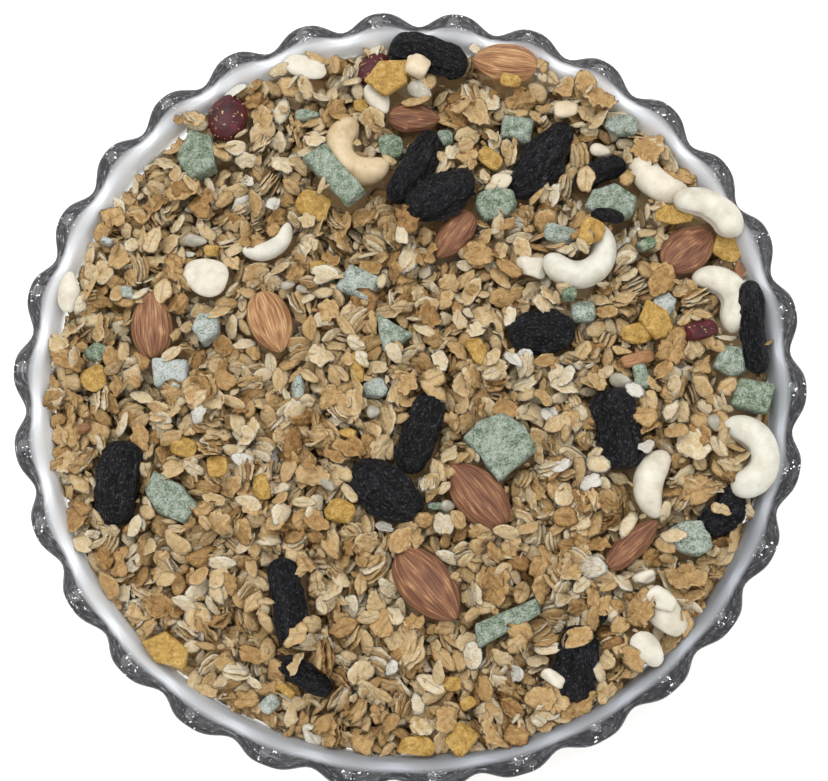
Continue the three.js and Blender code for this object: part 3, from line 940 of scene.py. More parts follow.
def roundedBlock(name, seed, voxel, roughness):
    # a node's cut block, remeshed finely, eased at its corners and roughened
    source = newObject("block", nodes[name].data.copy())
    remesh = source.modifiers.new("remesh", "REMESH")
    remesh.mode = "VOXEL"
    remesh.voxel_size = voxel * mm
    ease = source.modifiers.new("ease", "SMOOTH")
    ease.iterations = 4
    ease.factor = 0.6
    split = source.modifiers.new("triangles", "TRIANGULATE")
    split.quad_method = "FIXED"
    shaped = source.evaluated_get(bpy.context.evaluated_depsgraph_get())
    mesh = bpy.data.meshes.new_from_object(shaped)
    points = readVertices(mesh, "co") / mm
    normals = readVertices(mesh, "normal")
    faces = np.empty(len(mesh.polygons) * 3, dtype=np.int32)
    mesh.loops.foreach_get("vertex_index", faces)
    bpy.data.objects.remove(source)
    bpy.data.meshes.remove(mesh)
    lumps = 0.6 * bumps(points, 3.2, seed) + 0.25 * bumps(points, 1.1, seed + 1)
    points = points + normals * (lumps * roughness)[:, None]
    rng = np.random.default_rng(seed)
    tint = noteOf(rng, 0.5 + lumps / 2, candied["frost"].get(name, rng.uniform(0.2, 0.4)))
    return points, faces.reshape(-1, 3), points[:, :2] / 10, tint


def candiedMaterial():
    fruit, tree, shader = newMaterial("sugared green fruit", 0.7, 0.3)
    place = objectPlace(tree)
    frost = tintOf(tree)[0]
    specks = addNode(tree, "ShaderNodeTexVoronoi", {"Vector": place, "Scale": 1900.0})
    patch = noiseNode(tree, place, 420.0, 5.0, 0.7)
    veins = noiseNode(tree, stretched(tree, place, (1, 2.2, 1)), 800.0, 4.0, 0.65)
    green = colourRamp(tree, summed(tree, (patch, 0.55), (veins, 0.45)), candied["tones"])
    sugar = summed(tree, (patch, 0.7), (specks.outputs["Distance"], 0.4), (frost, 0.24))
    dust = times(tree, rangeNode(tree, sugar, 0.5, 0.84), rangeNode(tree, frost, 0.2, 0.9, 0.62, 0.97))
    tree.links.new(mixColour(tree, dust, green, candied["sugar"]), shader.inputs["Base Color"])
    bumpNode(tree, shader, sugar, 0.8, 0.8)
    return fruit


def yellowMaterial():
    fruit, tree, shader = newMaterial("yellow fruit", 0.6, 0.3)
    place = objectPlace(tree)
    value = summed(tree, (noiseNode(tree, place, 480.0, 4.0, 0.65), 0.6),
                   (noiseNode(tree, place, 1500.0, 3.0, 0.6), 0.4))
    tree.links.new(colourRamp(tree, value, yellow["tones"]), shader.inputs["Base Color"])
    bumpNode(tree, shader, value, 0.9, 1.2)
    return fruit


# pearly seeds

pearl = {
    "tones": [(0.3, srgb(126, 120, 104)), (0.55, srgb(150, 145, 130)), (0.75, srgb(174, 170, 158))],
    "glow": 0.3,
}


def shapeSeed(size, seed, name="", ball=smallBall):
    # a smooth seed, thinner at one end
    rng = np.random.default_rng(seed)
    unit, faces = ball
    x, y, z = unit.T
    narrow = 1 - 0.3 * x
    points = np.column_stack([x * size[0], y * narrow * size[1], z * narrow * size[2]])
    return points, faces, ballGrain(unit), noteOf(rng, 0.5 + 0 * x)


def pearlMaterial():
    skin, tree, shader = newMaterial("pearly seed", 0.42, 0.4, Subsurface_Scale=0.002,
                                      Subsurface_Weight=pearl["glow"])
    cloud = noiseNode(tree, objectPlace(tree), 350.0, 3.0, 0.6)
    tree.links.new(colourRamp(tree, cloud, pearl["tones"]), shader.inputs["Base Color"])
    bumpNode(tree, shader, cloud, 0.2, 0.4)
    return skin


# all toppings, laid where their nodes lie

toppingNames = sorted(name for name in nodes if name not in ("bowl", "granola"))


def ofKind(kind):
    return [name for name in toppingNames if name.startswith(kind)]


def asNode(shape, tip=0.08):
    # makes a shape at the place, heading and size of a node
    def make(name, seed):
        rng = np.random.default_rng(seed + 1)
        middle, heading, size = layOf(name)
        points, faces, grain, tint = shape(size, seed, name)
        return placedAt(points, middle, heading, rng.uniform(-tip, tip, 2)), faces, grain, tint
    return make


def asBlock(voxel, roughness):
    return lambda name, seed: roundedBlock(name, seed, voxel, roughness)


# piece: slot, kind of node, how each is shaped
toppingPieces = {
    "raisins": ("raisin", "raisin", asNode(shapeRaisin)),
    "almonds": ("almond", "almond", asNode(shapeAlmond)),
    "cashews": ("cashew", "cashew", shapeCashew),
    "broken_nuts": ("nut", "nut", asNode(shapeNut)),
    "dried_berries": ("berry", "berry", asNode(shapeBerry)),
    "candied_fruit": ("candied_fruit", "fruit", asBlock(0.65, 0.45)),
    "yellow_slices": ("yellow_fruit", "slice", asBlock(0.45, 0.3)),
    "pearl_seeds": ("nut", None, None),
}
parts = {name: [] for name in toppingPieces}
for count, (pieceName, (slot, kind, shape)) in enumerate(toppingPieces.items()):
    for number, name in enumerate(ofKind(kind) if kind else ()):
        part = shape(name, 100 * count + 7 * number)
        parts[pieceName].append(part)
        pressInto(part[0], part[1])
print("toppings shaped")


# loose flakes

diskReach, diskX, diskY = diskPoints(40)  # where a flake feels what it lies on
stampReach, stampX, stampY = diskPoints(220)  # where it raises the map
fillRadius = float(innerRadius(fill["level"] + 0.5))

# sizes are (mean, spread) in millimetres, the width as a share of the length; tone runs from
# toasted at 0 to cream at 1, as the two numbers of a beta spread; outline is (wave, depth) round
# the edge; standing is the share that stands on edge; the rest bends and wrinkles the flake
flakeKinds = {
    "broad_flakes": {
        "count": 2700, "length": (8.8, 1.8), "width": (0.74, 0.12), "thick": (0.42, 0.08),
        "tilt": 0.2, "standing": 0.24, "tone": (2.8, 2.9),
        "around": 30, "rings": (0.25, 0.48, 0.7, 0.87, 1.0), "underRings": (0.6,),
        "outline": ((2, 0.06), (3, 0.06), (4, 0.05), (5, 0.04), (7, 0.03), (9, 0.02), (11, 0.02)),
        "notches": (5, 0.13), "point": 0.08, "crease": 0.1, "curl": 0.45, "ruffle": 0.24,
        "wrinkle": 0.24},
    "crumpled_flakes": {
        "count": 1100, "length": (9.6, 1.8), "width": (0.8, 0.1), "thick": (0.38, 0.08),
        "tilt": 0.2, "standing": 0.2, "tone": (2.2, 3.4),
        "around": 36, "rings": (0.2, 0.4, 0.58, 0.74, 0.88, 1.0), "underRings": (0.6,),
        "outline": ((2, 0.06), (3, 0.06), (4, 0.05), (5, 0.04), (7, 0.03), (9, 0.03), (13, 0.02)),
        "notches": (6, 0.13), "point": 0.0, "crease": 0.0, "curl": 0.75, "ruffle": 0.4,
        "wrinkle": 0.42},
    "rolled_oats": {
        "count": 3600, "length": (8.3, 1.1), "width": (0.58, 0.08), "thick": (0.8, 0.2),
        "tilt": 0.2, "standing": 0.28, "tone": (4.0, 2.3),
        "around": 22, "rings": (0.3, 0.58, 0.82, 1.0), "underRings": (0.6,),
        "outline": ((2, 0.04), (3, 0.05), (4, 0.04), (5, 0.04), (7, 0.03)),
        "notches": (2, 0.1), "point": 0.2, "crease": 0.4, "curl": 0.28, "ruffle": 0.1,
        "wrinkle": 0.12},
    "pale_flakes": {
        "count": 1900, "length": (7.6, 1.4), "width": (0.63, 0.12), "thick": (0.55, 0.15),
        "tilt": 0.22, "standing": 0.28, "tone": (5.0, 1.7),
        "around": 22, "rings": (0.3, 0.58, 0.82, 1.0), "underRings": (0.6,),
        "outline": ((2, 0.06), (3, 0.06), (4, 0.05), (5, 0.05), (7, 0.04)),
        "notches": (3, 0.12), "point": 0.1, "crease": 0.25, "curl": 0.34, "ruffle": 0.16,
        "wrinkle": 0.18},
    "oat_slivers": {
        "count": 1100, "length": (6.4, 1.2), "width": (0.36, 0.08), "thick": (0.6, 0.2),
        "tilt": 0.25, "standing": 0.3, "tone": (3.6, 2.2),
        "around": 10, "rings": (0.5, 1.0), "underRings": (0.5,),
        "outline": ((2, 0.08), (3, 0.08), (4, 0.05)),
        "notches": (2, 0.14), "point": 0.2, "crease": 0.2, "curl": 0.3, "ruffle": 0.14,
        "wrinkle": 0.12},
    "oat_crumbs": {
        "count": 2300, "length": (3.2, 0.9), "width": (0.62, 0.14), "thick": (0.5, 0.12),
        "tilt": 0.3, "standing": 0.2, "tone": (3.0, 2.2),
        "around": 7, "rings": (0.65, 1.0), "underRings": (),
        "outline": ((2, 0.12), (3, 0.1)),
        "notches": (2, 0.18), "point": 0.0, "crease": 0.0, "curl": 0.12, "ruffle": 0.1,
        "wrinkle": 0.05},
    "toasted_flakes": {
        "count": 40, "length": (11.0, 1.2), "width": (0.78, 0.08), "thick": (0.5, 0.1),
        "tilt": 0.2, "standing": 0.0, "tone": (3.0, 6.0),
        "around": 32, "rings": (0.22, 0.45, 0.66, 0.85, 1.0), "underRings": (0.7, 0.35),
        "outline": ((2, 0.06), (3, 0.06), (4, 0.05), (5, 0.04), (7, 0.03), (9, 0.03), (13, 0.02)),
        "notches": (5, 0.12), "point": 0.0, "crease": 0.0, "curl": 1.0, "ruffle": 0.5,
        "wrinkle": 0.6},
    "striped_flakes": {
        "count": 150, "length": (7.2, 1.0), "width": (0.62, 0.1), "thick": (0.8, 0.15),
        "tilt": 0.25, "standing": 0.0, "tone": (8.0, 1.2),
        "around": 18, "rings": (0.3, 0.55, 0.8, 1.0), "underRings": (0.6,),
        "outline": ((2, 0.05), (3, 0.05), (5, 0.04), (7, 0.04)),
        "notches": (5, 0.18), "point": 0.1, "crease": 0.3, "curl": 0.5, "ruffle": 0.15,
        "wrinkle": 0.12, "ridges": 0.3},
}
# flakes under the surface are made with fewer points
plainFlake = {"around": 9, "rings": (0.6, 1.0), "underRings": ()}
flakeRows = {name: [] for name in flakeKinds}

settle = {
    "steepest": (0.5, 0.6),  # the slopes that a flake follows, along and across
    "rest": 0.85,  # a flake lies as high as this share of the heights under it
    "onTopping": (0.1, 0.3),  # how much of it may lie on a topping, usually and now and then
    "standingTop": 0.8,  # what a flake on edge adds to the heap
    "lowerDrop": (0.5, -7.0),  # share of the flakes in a layer, and where it ends under the top
    "upperDrop": (0.6, -4.7),
}


def restOn(rng, kind, spot, heading, size, stand=0.0, force=False):
    # finds how a flake lies on what is there, raises the map and returns its row
    half, side, thick = size[0] / 2, size[1] / 2, size[2]
    x, y = spot
    away = math.hypot(x, y)
    limit = fillRadius - min(half, side) * 0.3
    if away > limit:
        x, y = x * limit / away, y * limit / away
    shrink = 1 / math.hypot(1, stand)  # a standing flake covers a narrow strip
    px, py = half * diskX, side * shrink * diskY
    cells = cellsUnder(x, y, heading, px, py)
    usual, seldom = settle["onTopping"]
    if not force and taken[cells].mean() > (seldom if rng.random() < 0.3 else usual):
        return None
    heights = ground[cells]
    slopeX = (px * heights).sum() / (px * px).sum()
    slopeY = (py * heights).sum() / (py * py).sum()
    steepX, steepY = settle["steepest"]
    slopeX = np.clip(slopeX, -steepX, steepX) + rng.normal(0, kind["tilt"] * 0.7)
    slopeY = np.clip(slopeY, -steepY, steepY) + rng.normal(0, kind["tilt"])
    if stand:
        slopeY = stand
        rest = np.median(heights) + 0.12 * side * abs(stand) * shrink
    else:
        under = slopeX * px + slopeY * py - 0.5 * thick * (1 - diskReach**2)
        rest = np.quantile(heights - under, settle["rest"])
    px, py = half * stampX, side * shrink * stampY
    over = rest + slopeX * px + slopeY * py + 0.5 * thick * (1 - stampReach**2)
    if stand:
        over = np.minimum(over, rest + settle["standingTop"])
    cells = cellsUnder(x, y, heading, px, py)
    ground[cells] = np.maximum(ground[cells], over)
    return [x, y, rest, heading, slopeX, slopeY, *size, rng.beta(*kind["tone"])]


def randomSize(rng, kind):
    mean, spread = kind["length"]
    length = np.clip(rng.normal(mean, spread), mean * 0.5, mean * 1.5)
    width = length * np.clip(rng.normal(*kind["width"]), 0.25, 1.0)
    thick = kind["thick"][0] * np.clip(rng.normal(1, 0.15), 0.6, 1.5)
    return length, width, thick


def dropFlakes(rng, layer, tries):
    # drops a share of every kind, mixed, each where the heap is lowest of a few chances
    share, upTo = layer
    names = list(flakeKinds)
    order = np.repeat(np.arange(len(names)), [int(kind["count"] * share) for kind in flakeKinds.values()])
    rng.shuffle(order)
    for number in order:
        kind, rows = flakeKinds[names[number]], flakeRows[names[number]]
        reach = (fillRadius - 0.2) * np.sqrt(rng.uniform(0, 1, tries))
        turn = rng.uniform(0, 2 * math.pi, tries)
        spotX, spotY = reach * np.cos(turn), reach * np.sin(turn)
        cells = mapIndex(spotX, spotY)
        room = target[cells] + upTo - ground[cells] - 99.0 * taken[cells]
        best = int(np.argmax(room))
        if room[best] < 0:
            continue
        spot = np.array([spotX[best], spotY[best]])
        size = randomSize(rng, kind)
        heading = rng.uniform(0, 2 * math.pi)
        if rng.random() > kind["standing"]:
            rows.append(restOn(rng, kind, spot, heading, size))
            continue
        # some stand on edge, a few side by side
        stand = rng.choice([-1, 1]) * rng.uniform(0.7, 2.0)
        across = np.array([-math.sin(heading), math.cos(heading)])
        for step in range(rng.choice([1, 2, 2, 3, 4, 5])):
            beside = spot + across * step * (0.6 + size[2])
            rows.append(restOn(rng, kind, beside, heading + rng.normal(0, 0.08), size, stand))
    for name, rows in flakeRows.items():
        flakeRows[name] = [row for row in rows if row]


flakeRandom = np.random.default_rng(41)
dropFlakes(flakeRandom, settle["lowerDrop"], tries=8)
lowerCount = {name: len(rows) for name, rows in flakeRows.items()}
print("lower flakes laid:", sum(lowerCount.values()))

# smaller things among the flakes, by piece and shape: x, y, length, width, thickness, heading
smallThings = {
    ("candied_fruit", shapeChunk): [
        (3.5, 75.9, 7.6, 7.4, 5, 3), (21, 77.7, 5.1, 5.1, 4, -7), (76.6, 73.8, 10.2, 6.7, 4, -2),
        (52.9, 41.2, 10.6, 5.9, 4, -23), (-94.5, 21.3, 7.6, 5.6, 4, -27), (-10.1, -0.7, 7.4, 6.3, 5, 14),
        (71.2, -6.5, 8.4, 4.9, 4, -89), (81.7, 15.5, 7.4, 6.4, 5, -54), (56.6, 16, 7.4, 7, 5, -7),
        (52.9, 21.3, 4.6, 4.2, 4, -7), (-33.8, 2.8, 8.1, 4.6, 4, 79), (-21.9, 91, 7.7, 4.1, 3, -12),
        (-51.3, -90.7, 5.8, 4.7, 4, 33), (78.8, 35.1, 6.3, 4.2, 4, 14), (-83.5, 39, 4.4, 3.9, 3, -7),
        (-89.5, 57.2, 4.6, 2.9, 3, -37), (4.8, -38.7, 6.6, 2.4, 3, -7)],
    ("dried_berries", shapeChunk): [(90.7, 5.1, 10.5, 5.6, 4, 8)],
    ("yellow_slices", shapeChunk): [
        (-22.8, 60.6, 11.7, 8.4, 1.8, -38), (-70, -11.7, 8.1, 6.1, 1.8, -27),
        (-60.5, -18.7, 6.1, 6.8, 1.8, 3), (-47.4, -26.7, 5.1, 8, 1.6, 3),
        (-24.7, -37, 8.5, 7.8, 2.2, -37), (22.8, 7.7, 9.5, 5.8, 1.6, -66),
        (-14.8, 6.8, 4.5, 10, 1.8, 0), (-23, 39.4, 5.6, 5.2, 1.6, -7), (-20, -13, 4.9, 3.1, 1.6, -27),
        (34.4, 69.3, 8.4, 5.9, 1.8, -44), (-56.5, 49.8, 4.4, 3.9, 1.6, -7),
        (-95.7, 13.1, 8.5, 7.7, 2, 24), (62, 39.1, 8.5, 7.5, 2, 63), (88.7, 42.7, 11.2, 6.6, 2, -12),
        (104.1, 30.6, 9.2, 8.5, 2, -28), (71.7, 6.8, 9.9, 6.3, 2, 8), (2.7, -91.1, 5.3, 4, 1.6, -7),
        (6.7, -97.1, 4.7, 3.4, 1.6, 23), (3.7, -106.7, 9.7, 7.4, 2, 42),
        (-10.1, -107.1, 11.6, 5.6, 2, -11), (-46.2, -87.2, 5.9, 3.4, 1.6, -36),
        (-4.1, 92.2, 5.1, 4.8, 1.6, -7), (43.5, 91.5, 6.4, 4.8, 1.6, -18)],
    ("broken_nuts", shapeChunk): [
        (14.6, 99.9, 7.8, 7.5, 4, -28), (63, -67.2, 6.6, 4.1, 4, 13), (52, -76.8, 5.2, 4.2, 4, -47),
        (60, 81.4, 7.7, 5.4, 3, 3), (32, -92.8, 4.1, 7.5, 3, 52), (42.8, 31.7, 7.1, 10, 4, 78),
        (66.1, -74.1, 8.7, 6, 4, -47)],
    ("broken_nuts", shapeSeed): [(36.7, 59.9, 7, 5.9, 3, 14), (69.2, 67.3, 6.6, 4.4, 3, -16)],
    ("pearl_seeds", shapeSeed): [
        (-33.5, 35.2, 4.7, 2.9, 2, 3), (-29.3, 33.4, 3.8, 2.6, 2, -27), (-27.7, -27.5, 6.7, 3.9, 2.4, -61),
        (7.8, -39.1, 4.2, 3.6, 2, -7), (-11.4, -7.5, 4.3, 4, 2, -7), (65, -7.3, 7.3, 4.4, 2.4, -22),
        (90.3, -24.1, 5.5, 3.7, 2, -79), (14.7, 92.3, 8.5, 5.4, 2.4, -39), (-61.2, 53.7, 7.6, 3.9, 2.4, -12)],
    ("almonds", shapeChunk): [
        (106.5, 22.5, 7.1, 3.7, 4, 71), (71.1, -1.1, 10.5, 4.4, 4, 8), (-100.4, -2.1, 4.2, 3.2, 3, 24)],
    ("raisins", shapeRaisin): [(67.8, 44.3, 10.6, 4.3, 4, -12), (49.3, -76.8, 4.1, 2.9, 3, 52)],
}


def onHeap(shape, seed, x, y, length, width, height, heading):
    # a small thing where it lies, sunk a little between the flakes
    half = np.array([length, width, height]) / 2
    turn = math.radians(heading)
    points, faces, grain, tint = shape(half, seed, "", smallBall)
    low = np.quantile(ground[cellsUnder(x, y, turn, half[0] * diskX, half[1] * diskY)], 0.6)
    high = max(low + height * 0.35, float(fillHeight(x, y)) + 0.4 - height * 0.1)
    tip = np.random.default_rng(seed).uniform(-0.2, 0.2, 2)
    return placedAt(points, np.array([x, y, high]), turn, tip), faces, grain, tint


seed = 900
for (pieceName, shape), spots in smallThings.items():
    for spot in spots:
        seed += 1
        part = onHeap(shape, seed, *spot)
        parts[pieceName].append(part)
        pressInto(part[0], part[1])
print("small things laid")

dropFlakes(flakeRandom, settle["upperDrop"], tries=6)
print("all flakes laid:", sum(len(rows) for rows in flakeRows.values()))

# flakes that lie on top of others and on the fruit: kind, x, y, length, width, heading, tone
topFlakes = [
    ("striped_flakes", 69, -28.4, 7.5, 5, 30, 0.8),
    ("striped_flakes", -44, 101, 9, 6, 20, 0.95),
    ("broad_flakes", 88, -50, 7.5, 4, -35, 0.7),
    ("rolled_oats", 73, -56, 8.5, 5, -5, 0.75),
    ("striped_flakes", 48, -62, 10, 7.5, -8, 0.45),
    ("striped_flakes", 51, -37, 9, 6, 12, 0.95),
    ("toasted_flakes", 85, 66, 14, 11, 60, 0.3),
    ("toasted_flakes", 95.5, 58, 12, 9, -30, 0.35),
    ("toasted_flakes", 70.5, 84, 15, 10, -40, 0.32),
    ("toasted_flakes", 60, -76, 13, 9, 60, 0.3),
    ("toasted_flakes", 75, -68, 14, 9, -20, 0.35),
    ("toasted_flakes", 39, -104, 12, 8, 30, 0.3),
    ("broad_flakes", 40.5, -82, 11, 6, 20, 0.35),
    ("broad_flakes", 0, -0.5, 8, 7, 40, 0.4),
    ("broad_flakes", -41, -72, 9, 7.5, 10, 0.6),
    ("pale_flakes", -33, -64, 7.5, 3.6, -70, 0.85),
    ("broad_flakes", -42, -80, 8.5, 4, 60, 0.55),
    ("rolled_oats", 13, 89, 11, 4.4, -10, 0.5),
    ("broad_flakes", 27, 87, 9, 5, 10, 0.55),
    ("pale_flakes", -13, 9, 6.5, 4.5, -70, 0.95),
    ("striped_flakes", -64, -3, 7.5, 4.5, 50, 0.95),
    ("striped_flakes", 33, 3, 8, 5, -60, 0.9),
    ("striped_flakes", 43, -31, 7.5, 4.5, 20, 0.95),
    ("striped_flakes", -12, -43, 7, 4.5, -30, 0.95),
    ("rolled_oats", 55, 4, 6.8, 6, 50, 0.6),
    ("broad_flakes", 70, -19, 9, 8, 0, 0.4),
    ("pale_flakes", 63, 57, 8, 7, 80, 0.7),
    ("rolled_oats", 58.5, 35, 6, 3.5, -55, 0.8),
]
for kindName, x, y, length, width, heading, tone in topFlakes:
    kind = flakeKinds[kindName]
    size = (length, width, kind["thick"][0])
    row = restOn(flakeRandom, kind, (x, y), math.radians(heading), size, force=True)
    row[-1] = tone
    flakeRows[kindName].append(row)


def flakeTurns(rows):
    # one turning matrix for each flake, from its heading and its two slopes
    heading, slopeX, slopeY = rows[:, 3], rows[:, 4], rows[:, 5]
    ahead = np.column_stack([np.cos(heading), np.sin(heading), slopeX])
    ahead /= np.linalg.norm(ahead, axis=1)[:, None]
    side = np.column_stack([-np.sin(heading), np.cos(heading), slopeY])
    side -= ahead * (side * ahead).sum(1)[:, None]
    side /= np.linalg.norm(side, axis=1)[:, None]
    up = np.cross(ahead, side)
    return np.stack([ahead, side, up], axis=2)


def flakeTemplate(around, rings, underRings):
    # a unit disk, above and below: how far out each point is, its turn, and which face
    reach, turn, face = [0.0], [0.0], [1.0]
    for ring in rings:
        for j in range(around):
            reach.append(ring)
            turn.append(2 * math.pi * j / around)
            face.append(1.0)
    outer = 1 + (len(rings) - 1) * around
    faces = []
    for j in range(around):
        k = (j + 1) % around
        faces.append((0, 1 + j, 1 + k))
        for i in range(len(rings) - 1):
            a, b = 1 + i * around + j, 1 + i * around + k
            faces += [(a, a + around, b + around), (a, b + around, b)]
    for ring in underRings:
        start = len(reach)
        for j in range(around):
            reach.append(ring)
            turn.append(2 * math.pi * j / around)
            face.append(-1.0)
        for j in range(around):
            k = (j + 1) % around
            faces += [(outer + j, start + j, start + k), (outer + j, start + k, outer + k)]
        outer = start
    reach.append(0.0)
    turn.append(0.0)
    face.append(-1.0)
    bottom = len(reach) - 1
    for j in range(around):
        faces.append((outer + (j + 1) % around, outer + j, bottom))
    return np.array(reach), np.array(turn), np.array(face), np.array(faces)


oatLook = {
    "plain": [(0.0, srgb(118, 82, 42)), (0.2, srgb(156, 119, 70)), (0.42, srgb(184, 150, 100)),
              (0.62, srgb(200, 174, 130)), (0.8, srgb(211, 195, 163)), (1.0, srgb(222, 216, 197))],
    "striped": [(0.0, srgb(120, 96, 66)), (0.3, srgb(168, 148, 118)), (0.5, srgb(196, 188, 170)),
                (0.75, srgb(214, 210, 198))],
    "crease": srgb(118, 88, 56),
    "creased": 0.72,  # flakes with a chance over this have a crease
}


def shapeFlakes(rng, rows, look):
    # points of every flake of a kind before they are turned, with their grain and tint
    reach, turn, face, faces = flakeTemplate(look["around"], look["rings"], look["underRings"])
    lengths, widths, thicks = rows[:, 6:7], rows[:, 7:8], rows[:, 8:9]
    count = len(rows)

    def anyTurn():
        return rng.uniform(0, 2 * math.pi, (count, 1))

    outline = np.ones((count, len(reach)))
    for wave, depth in look["outline"]:
        outline += rng.normal(0, depth, (count, 1)) * np.cos(wave * turn + anyTurn())
    notchCount, notchDepth = look["notches"]
    for _ in range(notchCount):
        off = np.abs((turn - anyTurn() + math.pi) % (2 * math.pi) - math.pi)
        depth = np.abs(rng.normal(0, notchDepth, (count, 1)))
        outline -= depth * np.exp(-((off / rng.uniform(0.1, 0.3, (count, 1))) ** 2))
    outline = np.clip(outline, 0.5, 1.35)
    inner = 1 + (outline - 1) * reach  # the rim is ragged, the middle is not
    u, v = reach * np.cos(turn) * inner, reach * np.sin(turn) * inner
    v = v * (1 - look["point"] * u**2)
    dome = np.clip(1 - reach**3, 0, 1) ** 0.7
    z = np.where(face > 0, 0.5, -0.5) * dome * thicks
    creaseAt = rng.normal(0, 0.1, (count, 1))
    chance = rng.uniform(0, 1, (count, 1))
    creased = np.where(chance > oatLook["creased"], look["crease"], 0)
    groove = creased * np.exp(-(((v - creaseAt) / 0.2) ** 2)) * np.clip(1 - u * u, 0, 1)
    z = z - np.where(face > 0, groove * thicks, 0)
    z = z + rng.normal(0, look["curl"], (count, 1)) * (u * u - 0.3)
    z = z + rng.normal(0, look["curl"], (count, 1)) * (v * v - 0.3)
    z = z + rng.normal(0, look["curl"], (count, 1)) * u * v
    for wave in (3, 5):
        z = z + rng.normal(0, look["ruffle"], (count, 1)) * reach**2 * np.cos(wave * turn + anyTurn())
    x, y = u * lengths / 2, v * widths / 2
    for wave in (1.6, 2.4, 3.4):  # wrinkles with a few millimetres between them
        way = anyTurn()
        z = z + look["wrinkle"] * 0.6 * np.cos(wave * (x * np.cos(way) + y * np.sin(way)) + anyTurn())
    if "ridges" in look:
        z = z + np.where(face > 0, look["ridges"] * np.cos(9 * v + anyTurn()), 0) * (1 - reach**2)
    tint = np.stack(np.broadcast_arrays(rows[:, 9:10], chance, reach, 1.0), axis=2)
    grain = np.stack([u * 0.45 + 0.5, (v - creaseAt) * 0.4 + 0.5], axis=2)
    grain = grain + np.floor(chance * 40)[..., None]
    return np.stack([x, y, z], axis=2), faces, grain, tint


def flakePart(points, faces, grain, tint):
    # the flakes of one template as one list of points and faces
    count, each = points.shape[:2]
    start = (np.arange(count) * each)[:, None, None]
    return (points.reshape(-1, 3), (faces[None] + start).reshape(-1, 3),
            grain.reshape(-1, 2), tint.reshape(-1, 4))


def meshFlakes(pieceName, flakes, count, material):
    points, faces, grain, tint = joined(flakes)
    piece = makeMesh(pieceName, points, faces, material, grain, tint)
    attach(piece, "root")
    print(pieceName, "made:", count, "flakes,", len(faces), "triangles")


def layFlakes(rng, rows, look):
    local, faces, grain, tint = shapeFlakes(rng, rows, look)
    points = np.einsum("nij,nvj->nvi", flakeTurns(rows), local) + rows[:, None, :3]
    # nothing pokes through the glass
    room = innerRadius(points[..., 2]) - 0.1
    away = np.hypot(points[..., 0], points[..., 1])
    over = 0.6 * np.maximum(away - room, 0).max(1)[:, None]
    middle = np.hypot(rows[:, 0], rows[:, 1])[:, None]
    points[..., :2] *= (1 - over / np.maximum(middle, 1))[..., None]
    away = np.hypot(points[..., 0], points[..., 1])
    points[..., :2] *= np.minimum(1, room / np.maximum(away, 1))[..., None]
    return flakePart(points, faces, grain, tint)


def makeFlakes(pieceName, rng, rows, lower, look, material):
    rows = np.array(rows)
    flakes = [layFlakes(rng, rows[:lower], look | plainFlake), layFlakes(rng, rows[lower:], look)]
    meshFlakes(pieceName, flakes, len(rows), material)


def makeWallFlakes(rng, look, material):
    # flakes pressed flat against the inside of the glass, under the top of the heap
    count = look["count"]
    rows = np.zeros((count, 10))
    up = rng.uniform(0.12, 1.0, count) ** 0.8
    top = math.acos(1 - (fill["level"] - look["underTop"] - bowl["floorHeight"]) / bowl["wallBelly"])
    lean, turn = up * top, rng.uniform(0, 2 * math.pi, count)
    for row in rows:
        row[6:9] = randomSize(rng, look)
        row[9] = rng.beta(*look["tone"])
    local, faces, grain, tint = shapeFlakes(rng, rows, look)
    spin = rng.uniform(0, 2 * math.pi, count)[:, None]
    x = local[..., 0] * np.cos(spin) - local[..., 1] * np.sin(spin)
    y = local[..., 0] * np.sin(spin) + local[..., 1] * np.cos(spin)
    away = np.abs(local[..., 2]) * 0.5 + rng.uniform(*look["intoGlass"], count)[:, None]
    speed = np.hypot(bowl["wallReach"] * np.cos(lean), bowl["wallBelly"] * np.sin(lean))
    turn = turn[:, None] + x / innerWall(lean)[0][:, None]
    radius, height = besideWall(lean[:, None] + y / speed[:, None], away)
    points = np.stack([radius * np.cos(turn), radius * np.sin(turn), height], axis=2)
    meshFlakes("wall_flakes", [flakePart(points, faces, grain, tint)], count, material)


